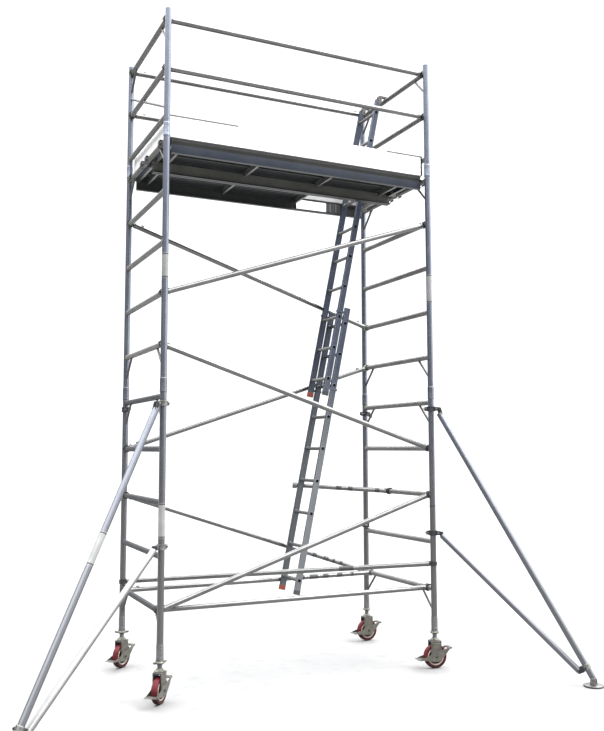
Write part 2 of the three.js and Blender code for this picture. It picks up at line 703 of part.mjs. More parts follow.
const tower = new THREE.Group();
tower.name = 'mobile_tower_scaffold';
tower.add(...centred(nodes.map(meshOf)));
export default tower;
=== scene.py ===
import math

import bpy
from mathutils import Matrix, Vector


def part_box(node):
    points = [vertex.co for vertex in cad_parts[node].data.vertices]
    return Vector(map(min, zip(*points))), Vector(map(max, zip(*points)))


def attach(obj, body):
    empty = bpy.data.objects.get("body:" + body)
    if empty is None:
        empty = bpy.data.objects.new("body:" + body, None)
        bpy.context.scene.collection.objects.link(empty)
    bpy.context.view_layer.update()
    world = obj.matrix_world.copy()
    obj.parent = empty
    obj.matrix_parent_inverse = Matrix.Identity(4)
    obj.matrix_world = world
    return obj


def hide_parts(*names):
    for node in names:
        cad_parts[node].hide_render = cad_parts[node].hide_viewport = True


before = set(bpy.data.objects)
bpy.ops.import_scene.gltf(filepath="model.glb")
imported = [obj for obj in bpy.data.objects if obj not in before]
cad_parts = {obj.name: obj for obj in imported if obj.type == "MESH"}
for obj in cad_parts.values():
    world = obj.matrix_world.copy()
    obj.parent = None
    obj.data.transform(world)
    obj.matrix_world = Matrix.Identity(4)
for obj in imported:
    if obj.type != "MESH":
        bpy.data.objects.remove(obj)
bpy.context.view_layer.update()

PI = math.pi
TAU = 2 * PI

# ---------------------------------------------------------------- tower frame
# Work is in millimetres from the front-left upright's axis at floor level.
LOW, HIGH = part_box("base_frame_left")
SLEEVE_R = 28.5
ORIGIN = Vector(((LOW.x + HIGH.x) / 2, LOW.y + SLEEVE_R / 1000, 0))
R_LOW, R_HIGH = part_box("base_frame_right")
LENGTH = ((R_LOW.x + R_HIGH.x) / 2 - ORIGIN.x) * 1000
WIDTH = (HIGH.y - LOW.y) * 1000 - 2 * SLEEVE_R
UPRIGHT_R, WALL, RUNG_R, BRACE_R = 25.4, 3.2, 22.0, 21.0
RUNG0, PITCH = 660.0, 400.0  # the lowest rung and the step between rungs
FOOT, JOINT1, JOINT2, TOP = 320.0, 2290.0, 4290.0, 5330.0  # where the uprights start, join and end
LANE1, LANE2 = 47.0, 89.0  # how far inside the uprights the braces and the two low horizontals run
FRONT_DECK, REAR_DECK = (36.0, 583.0), (591.0, 1138.0)  # each deck frame along Y
HATCH = (1620.0, 2300.0)  # the trapdoor's opening along X
LEAN = math.radians(11.6)  # the ladder's, from upright
LADDER_STEP = 298  # between two ladder rungs, along the stiles
STILE_HALF = 27.5  # half a stile's width
MM = 0.001
SMOOTH_BELOW = math.radians(34)  # a sharper edge than this stays hard


def V(x, y, z):
    return Vector((x, y, z))


X, Y, Z, ZERO = V(1, 0, 0), V(0, 1, 0), V(0, 0, 1), V(0, 0, 0)


def rung(i):
    return RUNG0 + PITCH * i


def turn_z(degrees, x=0.0, y=0.0, z=0.0):
    return Matrix.Translation(V(x, y, z)) @ Matrix.Rotation(math.radians(degrees), 4, "Z")


def lift(z):
    return Matrix.Translation(V(0, 0, z))


# ---------------------------------------------------------------- shapes
class Shape:
    """Closed solids collected into one mesh, each with its own material number."""

    def __init__(self):
        self.verts, self.faces, self.mats, self.mat = [], [], [], 0

    def use(self, number):
        self.mat = number
        return self

    def put(self, verts, faces):
        start = len(self.verts)
        self.verts += verts
        self.faces += [[i + start for i in f] for f in faces]
        self.mats += [self.mat] * len(faces)

    def merge(self, other, matrix):
        start = len(self.verts)
        self.verts += [matrix @ v for v in other.verts]
        self.faces += [[i + start for i in f] for f in other.faces]
        self.mats += other.mats

    def lathe(self, profile, start, axis, segs=32, closed=False, flute=None):
        """A profile of (radius, distance) turned about an axis."""
        w = axis.normalized()
        u = w.orthogonal().normalized()
        v = w.cross(u)
        verts, rings = [], []
        for radius, along in profile:
            centre = start + w * along
            if radius < 1e-6:
                rings.append([len(verts)] * segs)
                verts.append(centre)
                continue
            rings.append(list(range(len(verts), len(verts) + segs)))
            for i in range(segs):
                a = TAU * i / segs
                r = radius + (flute(a) if flute else 0)
                verts.append(centre + u * (math.cos(a) * r) + v * (math.sin(a) * r))
        pairs = list(zip(rings, rings[1:]))
        if closed:
            pairs.append((rings[-1], rings[0]))
        faces = []
        for a, b in pairs:
            for i in range(segs):
                j = (i + 1) % segs
                face = [a[i], a[j], b[j], b[i]]
                kept = [k for n, k in enumerate(face) if k not in face[:n]]
                if len(kept) > 2:
                    faces.append(kept)
        self.put(verts, faces)

    def rod(self, a, b, radius, segs=24, edge=1.0, flute=None):
        length = (b - a).length
        e = min(edge, length / 3, radius / 2)
        self.lathe(
            [(0, 0), (radius - e, 0), (radius, e), (radius, length - e), (radius - e, length), (0, length)],
            a, b - a, segs, flute=flute)

    def tube(self, a, b, radius, bore, segs=28, edge=0.7):
        length = (b - a).length
        self.lathe(
            [(bore, edge), (bore + edge, 0), (radius - edge, 0), (radius, edge), (radius, length - edge),
             (radius - edge, length), (bore + edge, length), (bore, length - edge)],
            a, b - a, segs, closed=True)

    def ring(self, bore, radius, length, start, axis, segs):
        """A square-edged ring."""
        self.lathe([(bore, 0), (radius, 0), (radius, length), (bore, length)], start, axis, segs, closed=True)

    def prism(self, outline, depth, matrix=None, bevel=1.0):
        """A flat outline in XY, counter-clockwise, made thick along Z with softened rims."""
        inner = inset(outline, bevel)
        levels = [(inner, 0), (outline, bevel), (outline, depth - bevel), (inner, depth)]
        verts = [V(x, y, z) for points, z in levels for x, y in points]
        n = len(outline)
        faces = [[i for i in reversed(range(n))], [3 * n + i for i in range(n)]]
        for k in range(3):
            for i in range(n):
                j = (i + 1) % n
                faces.append([k * n + i, k * n + j, (k + 1) * n + j, (k + 1) * n + i])
        self.put([matrix @ v for v in verts] if matrix else verts, faces)

    def box(self, a, b, bevel=1.0):
        """A box between two opposite corners, given in any order."""
        (x0, y0, z0), (x1, y1, z1) = map(min, a, b), map(max, a, b)
        self.prism([(x0, y0), (x1, y0), (x1, y1), (x0, y1)], z1 - z0, lift(z0), bevel)

    def wire(self, points, radius, segs=8, closed=False):
        """A round bar along a path."""
        n = len(points)
        tangents = []
        for i in range(n):
            before = points[i - 1] if i or closed else points[i]
            after = points[(i + 1) % n] if i < n - 1 or closed else points[i]
            tangents.append((after - before).normalized())
        side = tangents[0].orthogonal().normalized()
        verts = []
        for point, tangent in zip(points, tangents):
            side = (side - tangent * side.dot(tangent)).normalized()
            up = tangent.cross(side)
            for k in range(segs):
                a = TAU * k / segs
                verts.append(point + side * (math.cos(a) * radius) + up * (math.sin(a) * radius))
        faces = []
        for i in range(n if closed else n - 1):
            for k in range(segs):
                m = (k + 1) % segs
                j = (i + 1) % n
                faces.append([i * segs + k, i * segs + m, j * segs + m, j * segs + k])
        if not closed:
            faces.append([k for k in reversed(range(segs))])
            faces.append([(n - 1) * segs + k for k in range(segs)])
        self.put(verts, faces)

    def bolt(self, at, axis, radius=8, height=6):
        """A hexagon head with a washer under it."""
        axis = axis.normalized()
        self.lathe([(0, 0), (radius * 1.35, 0), (radius * 1.35, 1.6), (0, 1.6)], at, axis, 20)
        self.lathe([(0, 1.2), (radius, 1.2), (radius, height - 1), (radius - 1.2, height), (0, height)], at, axis, 6)

    def rivet(self, at, axis, radius=4.5):
        axis = axis.normalized()
        dome = [(0, -1), (radius, -1), (radius, 0.4), (radius * 0.75, 1.5), (radius * 0.35, 2.1), (0, 2.3)]
        self.lathe(dome, at, axis, 12)


def inset(outline, distance):
    """The same outline, each point moved inward."""
    n = len(outline)
    moved = []
    for i in range(n):
        p0, p, p1 = (Vector(outline[(i + k) % n]) for k in (-1, 0, 1))
        a, b = (p - p0), (p1 - p)
        if a.length < 1e-9 or b.length < 1e-9:
            moved.append(tuple(p))
            continue
        na, nb = Vector((-a.y, a.x)).normalized(), Vector((-b.y, b.x)).normalized()
        scale = distance / max(0.35, 1 + na.dot(nb))
        moved.append(tuple(p + (na + nb) * scale))
    return moved


def ccw(outline):
    """The same outline, turned round if it ran clockwise."""
    area = sum(a[0] * b[1] - b[0] * a[1] for a, b in zip(outline, outline[1:] + outline[:1]))
    return outline if area > 0 else outline[::-1]


def rounded(points, radius, steps=4):
    """The same outline with each corner turned into an arc."""
    made = []
    n = len(points)
    for i in range(n):
        p0, p, p1 = (Vector(points[(i + k) % n]) for k in (-1, 0, 1))
        a, b = (p0 - p), (p1 - p)
        cut = min(radius, a.length * 0.45, b.length * 0.45)
        if cut < 0.05:
            made.append(tuple(p))
            continue
        a.normalize()
        b.normalize()
        for s in range(steps + 1):
            t = s / steps
            made.append(tuple((p + a * cut) * (1 - t) ** 2 + p * (2 * t * (1 - t)) + (p + b * cut) * t * t))
    return made


def arc(radius, start, stop, steps, centre=(0, 0)):
    """Points on a circle, both ends included."""
    return [(centre[0] + radius * math.cos(start + (stop - start) * i / steps),
             centre[1] + radius * math.sin(start + (stop - start) * i / steps)) for i in range(steps + 1)]


def frame_matrix(origin, x, y, z):
    """A drawing plane: where it starts and what its three axes are in the tower."""
    m = Matrix((x, y, z)).transposed().to_4x4()
    m.translation = origin
    return m


def plane_yz(x, y=0, z=0):
    """A drawing plane on Y and Z whose depth runs along X."""
    return frame_matrix(V(x, y, z), Y, Z, X)


def facing_front(x, y, z, thickness):
    """A drawing plane on X and Z whose depth runs along -Y, with y in the middle of the thickness."""
    return frame_matrix(V(x, y + thickness / 2, z), X, Z, -Y)


def piece(name, shape, body, materials, replaces=(), place=None):
    """One Blender object, the CAD body it rides on and the CAD nodes it replaces."""
    mesh = bpy.data.meshes.new(name)
    points = [place @ v for v in shape.verts] if place else shape.verts
    verts = [(v.x * MM + ORIGIN.x, v.y * MM + ORIGIN.y, v.z * MM) for v in points]
    mesh.from_pydata(verts, [], shape.faces)
    for m in materials:
        mesh.materials.append(MATERIALS[m])
    mesh.polygons.foreach_set("material_index", shape.mats)
    mesh.polygons.foreach_set("use_smooth", [True] * len(shape.faces))
    mesh.update()
    mesh.validate()
    mesh.set_sharp_from_angle(angle=SMOOTH_BELOW)
    made = bpy.data.objects.new(name, mesh)
    bpy.context.scene.collection.objects.link(made)
    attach(made, body)
    if replaces:
        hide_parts(*replaces)


# ---------------------------------------------------------------- materials
MATERIALS = {}


def surface(name, base, tint, metallic=0.0, rough=(0.35, 0.5), blotch=6.0, grain=None, bump=0.08, wear=0.0,
            dirt=None, ior=1.5, coat=0.0, sheen=0.0, low_shading_tint=None, low_shading_range=(2.3, 0.9)):
    """One surface: two tints in blotches, fine grain along one axis, dust in spots, worn edges, and a tint painted in
    low down as shading.
    """
    mat = bpy.data.materials.new(name)
    mat.use_nodes = True
    tree = mat.node_tree
    nodes, links = tree.nodes, tree.links
    shader = nodes["Principled BSDF"]
    shader.inputs["Metallic"].default_value = metallic
    shader.inputs["IOR"].default_value = ior
    shader.inputs["Coat Weight"].default_value = coat
    shader.inputs["Sheen Weight"].default_value = sheen
    where = nodes.new("ShaderNodeTexCoord")

    def noise(scale, detail=4.0, stretch=None, rough_detail=0.55):
        source = where.outputs["Object"]
        if stretch:
            mapping = nodes.new("ShaderNodeMapping")
            mapping.inputs["Scale"].default_value = stretch
            links.new(source, mapping.inputs["Vector"])
            source = mapping.outputs["Vector"]
        n = nodes.new("ShaderNodeTexNoise")
        n.inputs["Scale"].default_value = scale
        n.inputs["Detail"].default_value = detail
        n.inputs["Roughness"].default_value = rough_detail
        links.new(source, n.inputs["Vector"])
        return n.outputs["Fac"]

    def ramp(source, low, high, a=0.0, b=1.0):
        r = nodes.new("ShaderNodeMapRange")
        r.inputs["From Min"].default_value = low
        r.inputs["From Max"].default_value = high
        r.inputs["To Min"].default_value = a
        r.inputs["To Max"].default_value = b
        links.new(source, r.inputs["Value"])
        return r.outputs["Result"]

    def mix(factor, first, second):
        m = nodes.new("ShaderNodeMix")
        m.data_type = "RGBA"
        links.new(factor, m.inputs["Factor"])
        for value, key in ((first, 6), (second, 7)):
            if isinstance(value, (tuple, list)):
                m.inputs[key].default_value = (*value, 1)
            else:
                links.new(value, m.inputs[key])
        return m.outputs[2]

    colour = mix(ramp(noise(blotch), 0.35, 0.68), base, tint)
    dark = tuple(c * 0.72 for c in base)
    colour = mix(ramp(noise(blotch * 9, 6.0), 0.52, 0.78, 0, 0.55), colour, dark)
    stretches = {"x": (1, 60, 60), "y": (60, 1, 60), "z": (60, 60, 1)}
    fine = noise(9 if grain else 140, 3.0, stretches.get(grain))
    if dirt:
        colour = mix(ramp(noise(blotch * 2.3, 5.0, None, 0.7), 0.55, 0.75, 0, 0.6), colour, dirt)
    # Painted light: below a given height the colour drifts to another tint, standing in for shade and the floor's
    # reflection.
    if low_shading_tint:
        split = nodes.new("ShaderNodeSeparateXYZ")
        links.new(where.outputs["Object"], split.inputs["Vector"])
        colour = mix(ramp(split.outputs["Z"], *low_shading_range, 0, 0.85), colour, low_shading_tint)
    if wear:
        geometry = nodes.new("ShaderNodeNewGeometry")
        edge = ramp(geometry.outputs["Pointiness"], 0.52, 0.62, 0, wear)
        colour = mix(edge, colour, tuple(min(1, c * 1.5 + 0.12) for c in base))
    links.new(colour, shader.inputs["Base Color"])
    links.new(ramp(fine, 0.3, 0.7, rough[0], rough[1]), shader.inputs["Roughness"])
    bump_node = nodes.new("ShaderNodeBump")
    bump_node.inputs["Strength"].default_value = bump
    bump_node.inputs["Distance"].default_value = 0.0006
    links.new(fine, bump_node.inputs["Height"])
    links.new(bump_node.outputs["Normal"], shader.inputs["Normal"])
    MATERIALS[name] = mat


def build_materials():
    # The uprights take a warmer, darker tint lower down: a painted reflection of the ground.
    surface("upright_alloy", (0.116, 0.131, 0.166), (0.154, 0.168, 0.204), 0.85, (0.26, 0.40), 5, "z", 0.10, 0.25,
            dirt=(0.125, 0.127, 0.135), low_shading_tint=(0.086, 0.077, 0.067), low_shading_range=(2.9, 1.2))
    surface("rung_alloy", (0.100, 0.100, 0.096), (0.140, 0.140, 0.135), 0.75, (0.42, 0.60), 6, "y", 0.12, 0.2,
            dirt=(0.14, 0.135, 0.125))
    surface("brace_alloy", (0.120, 0.120, 0.119), (0.160, 0.160, 0.158), 0.92, (0.22, 0.32), 5, "x", 0.08, 0.2)
    surface("weld_metal", (0.13, 0.13, 0.13), (0.19, 0.19, 0.19), 0.85, (0.35, 0.55), 40, None, 0.25)
    surface("rung_shade_alloy", (0.016, 0.017, 0.020), (0.026, 0.027, 0.031), 0.35, (0.45, 0.62), 6, "y", 0.12, 0.1,
            ior=1.3)
    # A darker copy of the rung alloy for the lower ladder's rungs: painted shade.
    surface("shaded_low_rung_alloy", (0.034, 0.036, 0.036), (0.054, 0.057, 0.057), 0.5, (0.42, 0.6), 6, "y", 0.12, 0.2,
            ior=1.35)
    surface("tie_alloy", (0.050, 0.050, 0.050), (0.082, 0.081, 0.080), 0.6, (0.4, 0.55), 8, "y", 0.08, 0.15)
    surface("dark_casting", (0.012, 0.013, 0.015), (0.028, 0.029, 0.032), 0.1, (0.5, 0.7), 30, None, 0.25, 0.2,
            ior=1.25)
    surface("trigger_plastic", (0.016, 0.016, 0.018), (0.03, 0.03, 0.03), 0.0, (0.4, 0.6), 30, None, 0.12)
    surface("deck_beam_alloy", (0.011, 0.015, 0.023), (0.016, 0.020, 0.029), 0.0, (0.55, 0.7), 4, "x", 0.06,
            dirt=(0.018, 0.020, 0.023), ior=1.2)
    surface("deck_rail_upper", (0.012, 0.012, 0.011), (0.018, 0.018, 0.017), 0.0, (0.55, 0.7), 4, "x", 0.06, ior=1.2)
    surface("deck_lip_alloy", (0.024, 0.025, 0.026), (0.036, 0.037, 0.038), 0.3, (0.36, 0.5), 6, "x", 0.06)
    # Darker and lighter copies of the beam colour for the beams' inner faces: painted shade on the hatch deck,
    # painted light on the other deck's rear beam.
    surface("shaded_inner_beam_alloy", (0.017, 0.020, 0.018), (0.026, 0.029, 0.026), 0.0, (0.5, 0.64), 5, "x", 0.06, ior=1.4)
    surface("lit_mid_beam_alloy", (0.075, 0.078, 0.068), (0.102, 0.105, 0.092), 0.0, (0.5, 0.64), 5, "x", 0.06, ior=1.4)
    surface("cross_member_alloy", (0.15, 0.15, 0.145), (0.21, 0.21, 0.205), 0.7, (0.35, 0.5), 8, "y", 0.08)
    surface("stiffener_alloy", (0.020, 0.022, 0.022), (0.034, 0.036, 0.036), 0.2, (0.45, 0.65), 6, "x", 0.08, 0.2)
    # A lighter copy of the dark casting for hooks and jaws at the sunlit right end: painted light.
    surface("lit_cast_alloy", (0.135, 0.135, 0.130), (0.185, 0.185, 0.180), 0.6, (0.45, 0.62), 24, None, 0.3, 0.3)
    surface("ply_underside", (0.008, 0.010, 0.011), (0.013, 0.015, 0.016), 0.0, (0.6, 0.85), 3, "x", 0.3,
            dirt=(0.016, 0.017, 0.017))
    surface("ply_edge_and_gap_shade", (0.006, 0.006, 0.007), (0.014, 0.014, 0.014), 0.0, (0.7, 0.9), 20, "x", 0.3)
    surface("deck_grip", (0.034, 0.023, 0.016), (0.050, 0.035, 0.025), 0.0, (0.5, 0.75), 5, None, 0.5,
            dirt=(0.066, 0.054, 0.044))
    surface("toe_board_paint", (0.82, 0.82, 0.82), (0.87, 0.87, 0.87), 0.0, (0.35, 0.55), 4, "x", 0.10, 0.1,
            dirt=(0.74, 0.74, 0.73))
    surface("toe_board_shade", (0.36, 0.365, 0.37), (0.42, 0.425, 0.43), 0.0, (0.4, 0.6), 4, "x", 0.10, 0.1,
            dirt=(0.30, 0.30, 0.295))
    surface("toe_strip_paint", (0.045, 0.050, 0.055), (0.07, 0.075, 0.08), 0.0, (0.4, 0.6), 14, "x", 0.1)
    # Lower down the ladder's colours drift to a lighter grey-green: painted light.
    surface("ladder_alloy", (0.017, 0.025, 0.046), (0.031, 0.040, 0.064), 0.4, (0.34, 0.48), 5, "z", 0.08, 0.2,
            dirt=(0.038, 0.043, 0.055), low_shading_tint=(0.150, 0.157, 0.157), low_shading_range=(2.6, 1.7), ior=1.4)
    # A lighter copy of the ladder alloy for the front stile's lips and the rung-end rims: painted highlight on edges.
    surface("ladder_lit_edge_alloy", (0.058, 0.070, 0.102), (0.088, 0.102, 0.137), 0.6, (0.3, 0.45), 5, "z", 0.08, 0.3,
            low_shading_tint=(0.21, 0.217, 0.218), low_shading_range=(2.9, 1.7))
    surface("ladder_shade_alloy", (0.017, 0.024, 0.042), (0.030, 0.038, 0.058), 0.5, (0.36, 0.5), 5, "z", 0.08, 0.2,
            low_shading_tint=(0.078, 0.082, 0.083), low_shading_range=(2.75, 1.7), ior=1.25)
    surface("ear_alloy", (0.056, 0.052, 0.046), (0.085, 0.080, 0.072), 0.4, (0.45, 0.6), 14, None, 0.12, 0.2,
            ior=1.35)
    surface("rung_bore_shade", (0.002, 0.002, 0.002), (0.005, 0.005, 0.005), 0.0, (0.7, 0.9), 30, None, 0.1, ior=1.15)
    # Lower down the tube turns a plainer grey: painted shading, as on the uprights.
    surface("stabiliser_alloy", (0.090, 0.099, 0.120), (0.125, 0.135, 0.156), 0.85, (0.28, 0.44), 5, "z", 0.08, 0.2,
            dirt=(0.12, 0.122, 0.13), low_shading_tint=(0.12, 0.122, 0.13))
    surface("strut_alloy", (0.165, 0.165, 0.165), (0.21, 0.21, 0.21), 0.85, (0.26, 0.40), 5, "z", 0.08, 0.2)
    surface("clamp_zinc", (0.10, 0.10, 0.097), (0.19, 0.19, 0.182), 0.8, (0.3, 0.5), 26, None, 0.2, 0.4,
            dirt=(0.06, 0.06, 0.055))
    surface("zinc_plate", (0.060, 0.057, 0.045), (0.120, 0.114, 0.095), 0.6, (0.34, 0.5), 26, None, 0.12, 0.2,
            dirt=(0.030, 0.028, 0.022))
    surface("nut_zinc", (0.075, 0.072, 0.064), (0.12, 0.116, 0.105), 0.75, (0.32, 0.5), 26, None, 0.15, 0.2)
    surface("zinc_bright", (0.052, 0.051, 0.046), (0.090, 0.088, 0.080), 0.7, (0.26, 0.42), 26, None, 0.12, 0.2,
            dirt=(0.10, 0.095, 0.08))
    surface("screw_steel", (0.085, 0.085, 0.082), (0.14, 0.14, 0.135), 0.85, (0.3, 0.5), 30, None, 0.15, 0.3)
    surface("axle_steel", (0.016, 0.014, 0.012), (0.040, 0.034, 0.028), 0.4, (0.4, 0.6), 40, None, 0.2, 0.3, ior=1.3)
    # The tread darkens towards its lowest part: painted shade where the tyre meets the floor.
    surface("tread_urethane", (0.056, 0.004, 0.008), (0.096, 0.009, 0.014), 0.0, (0.52, 0.70), 18, None, 0.15,
            dirt=(0.044, 0.012, 0.013), low_shading_tint=(0.018, 0.003, 0.004), low_shading_range=(0.12, 0.03), ior=1.3)
    surface("tread_core", (0.035, 0.012, 0.013), (0.055, 0.020, 0.021), 0.0, (0.45, 0.65), 18, None, 0.12)
    surface("rim_nylon", (0.30, 0.265, 0.21), (0.38, 0.34, 0.28), 0.0, (0.4, 0.55), 20, None, 0.08)
    surface("black_rubber", (0.018, 0.018, 0.019), (0.035, 0.034, 0.034), 0.0, (0.6, 0.85), 30, None, 0.35,
            dirt=(0.07, 0.065, 0.06))
    surface("cap_orange", (0.150, 0.030, 0.018), (0.205, 0.050, 0.030), 0.0, (0.5, 0.7), 20, None, 0.15, ior=1.35)
    surface("label_vinyl", (0.165, 0.168, 0.170), (0.215, 0.218, 0.220), 0.0, (0.3, 0.45), 12, None, 0.03, coat=0.3)
    surface("label_ink", (0.022, 0.018, 0.020), (0.04, 0.034, 0.036), 0.0, (0.35, 0.5), 30, None, 0.03)


# ---------------------------------------------------------------- tube frames
FRAME_MATERIALS = ["upright_alloy", "rung_alloy", "weld_metal", "dark_casting", "label_vinyl", "label_ink",
                   "tie_alloy", "rung_shade_alloy"]
TUBE, RUNG, WELD, HOLE_SHADE, VINYL, INK, TIE, SHADE_RUNG = range(8)


def weld(shape, x, y, z, side, upright_r=UPRIGHT_R, bar_r=RUNG_R):
    """A bead where a bar along Y meets an upright; side is +1 on the upright's rear face."""
    points = []
    for i in range(26):
        a = TAU * i / 26
        r = bar_r + 1.0 + 0.5 * math.sin(a * 9 + z)
        dx = r * math.cos(a)
        out = math.sqrt(max(0, upright_r ** 2 - min(abs(dx), upright_r - 0.5) ** 2)) + 0.8
        points.append(V(x + dx, y + side * out, z + r * math.sin(a)))
    shape.wire(points, 2.5, 6, closed=True)


def ribbed(count, depth):
    """A lathe's flute: so many ridges round the bar, so deep."""
    return lambda a: depth * math.cos(count * a)


def ladder_rungs(shape, x, heights):
    for z in heights:
        shaded = x == 0 and z < rung(4.5)
        shape.use(SHADE_RUNG if shaded else RUNG).rod(V(x, 20, z), V(x, WIDTH - 20, z), RUNG_R - 0.5, 60, 0.5,
                                                      ribbed(15, 0.5))
        shape.use(WELD)
        weld(shape, x, 0, z, 1)
        weld(shape, x, WIDTH, z, -1)


def bead(shape, centre, radius, thick):
    """A ring of weld round a slanting bar's end."""
    shape.use(WELD).wire([centre + V(radius * math.cos(TAU * i / 14), 0, radius * math.sin(TAU * i / 14))
                       for i in range(14)], thick, 6, closed=True)


def gusset(shape, x, z, y, inward):
    """A short slanting bar under a rung, welded at both ends."""
    low, high = V(x, y + inward * 20, z - 178), V(x, y + inward * 178, z - 18)
    shape.use(TIE).rod(low, high, 9.6, 20, 2)
    bead(shape, low - V(0, inward, 0), 9.4, 2.6)
    bead(shape, high + V(0, inward, 0), 9.4, 2.6)


def riveted_gusset(shape, x, z):
    """A flat folded bracket between the front upright and a rung, held by two rivets."""
    outline = rounded([(24, -172), (36, -176), (150, -30), (146, -20), (104, -20), (24, -118)], 6)
    shape.use(TIE).prism(outline, 6, plane_yz(x + 3, 0, z), 1.2)
    for y, drop in ((42, 140), (118, 40)):
        shape.use(WELD).rivet(V(x - 3, y, z - drop), -X, 7)
        shape.use(WELD).rivet(V(x + 9, y, z - drop), X, 7)


def pin_hole(shape, x, y, z, radius, rim):
    """A drilled hole with a bright rim on the front and rear of a tube of the given radius; the hole is a dark disc,
    painted shade of its depth.
    """
    for way in (-1, 1):
        at = V(x, y + way * (radius - 0.6), z)
        shape.use(WELD).ring(rim, rim + 2.2, 1.1, at, V(0, way, 0), 14)
        shape.use(HOLE_SHADE).rod(at - V(0, way * 2, 0), at + V(0, way * 0.9, 0), rim + 0.2, 12, 0.3)


def collar(shape, x, y, z):
    """The belled socket at the foot of a frame, with its spring pin and drilled holes."""
    shape.use(TUBE).lathe(
        [(25.2, 0), (27.6, 0), (28.5, 1.2), (28.5, 9), (27.6, 12), (27.6, 100), (27.0, 106), (25.6, 110),
         (25.2, 110)],
        V(x, y, z), Z, 32, closed=True)
    shape.use(WELD).rod(V(x, y - 30.6, z + 85), V(x, y + 30.6, z + 85), 4.4, 12, 1)
    pin_hole(shape, x, y, z + 85, 27.8, 4.8)
    pin_hole(shape, x, y, z + 34, 27.8, 3.6)
    pin_hole(shape, x, y, z + 132, 25.4, 3.8)


def sleeve(shape, x, y, z):
    """The drilled sleeve round the foot of a base upright, drawn in the lighter weld metal as a painted highlight on
    the foot.
    """
    shape.use(WELD).lathe([(25.2, 0), (28.2, 0), (28.4, 1), (28.4, 8), (27.6, 11), (27.6, 98), (27, 104), (25.6, 109),
                           (25.2, 109)],
                       V(x, y, z), Z, 32, closed=True)
    for rise in (36, 66, 92):
        pin_hole(shape, x, y, z + rise, 27.8, 3.4)


def label(shape, x, y, low, high, start, sweep=150):
    """A blank wrap-round sticker on an upright with a thin line near each end."""
    for r, z0, z1, mat in ((0.35, low, high, VINYL), (0.6, low + 4, low + 13, INK), (0.6, high - 13, high - 4, INK)):
        outer = arc(UPRIGHT_R + r, math.radians(start), math.radians(start + sweep), 14, (x, y))
        inner = arc(UPRIGHT_R - 0.6, math.radians(start + sweep), math.radians(start), 14, (x, y))
        shape.use(mat).prism(outer + inner, z1 - z0, lift(z0), 0.12)


def uprights(shape, x, low, high, radius, socket):
    """Two tubes with the socket at their foot and, short of the top, the spigot for the frame above."""
    for y in (0, WIDTH):
        shape.use(TUBE).tube(V(x, y, low), V(x, y, high), radius, UPRIGHT_R - WALL, 36)
        if high < TOP:
            shape.use(TUBE).rod(V(x, y, high - 120), V(x, y, high + 150), 20.5, 28, 4)
        socket(shape, x, y, low)


def build_frames():
    for side, x in (("left", 0.0), ("right", LENGTH)):
        base = Shape()
        uprights(base, x, FOOT, JOINT1, UPRIGHT_R, sleeve)
        ladder_rungs(base, x, [rung(i) for i in range(5)])
        for y, inward in ((0, 1), (WIDTH, -1)):
            if side == "left" and y == 0:
                riveted_gusset(base, x, rung(0))
            else:
                gusset(base, x, rung(0), y, inward)
            gusset(base, x, rung(4), y, inward)
        if side == "left":
            label(base, x, 0, 1199, 1458, 190)
        else:
            base.use(INK).ring(24.8, 26.1, 11, V(x, 0, 1358), Z, 32)
        piece(f"base_frame_{side}_welded", base, "tower", FRAME_MATERIALS, [f"base_frame_{side}"])

        upper = Shape()
        uprights(upper, x, JOINT1 + 0.4, JOINT2, UPRIGHT_R - 0.1, collar)
        ladder_rungs(upper, x, [rung(i) for i in range(5, 10)])
        for y, inward in ((0, 1), (WIDTH, -1)):
            gusset(upper, x, rung(5), y, inward)
            gusset(upper, x, rung(9), y, inward)
        label(upper, x, 0, *((3166, 3361, 190) if side == "left" else (3142, 3394, 185)))
        piece(f"upper_frame_{side}_welded", upper, "tower", FRAME_MATERIALS, [f"upper_frame_{side}"])

        guard = Shape()
        uprights(guard, x, JOINT2 + 0.4, TOP, UPRIGHT_R - 0.1, collar)
        ladder_rungs(guard, x, [rung(9.5), rung(10.5), rung(11.5)])
        for y, inward in ((0, 1), (WIDTH, -1)):
            gusset(guard, x, rung(11.5), y, inward)
        if side == "left":
            slope = V(0, WIDTH, 508).normalized()
            guard.use(TIE).rod(V(x, 0, 4523) + slope * 22, V(x, WIDTH, 5031) - slope * 22, 10.6, 22, 2)
            bead(guard, V(x, 23.6, 4533), 11, 2.2)
            bead(guard, V(x, WIDTH - 23.6, 5021), 11, 2.2)
        piece(f"guard_frame_{side}_welded", guard, "tower", FRAME_MATERIALS, [f"guard_frame_{side}"])


# ---------------------------------------------------------------- braces
# These follow TUBE, which is 0 in every list that has a tube.
BRACE_MATERIALS = ["brace_alloy", "dark_casting", "trigger_plastic", "screw_steel", "lit_cast_alloy"]
CASTING, PLASTIC, STEEL, LIT_CASTING = range(1, 5)


def claw_outline(mouth, inner, outer, half=1.0, steps=18):
    start, stop = mouth + half, mouth + TAU - half
    return arc(outer, start, stop, steps) + arc(inner, stop, start, steps)


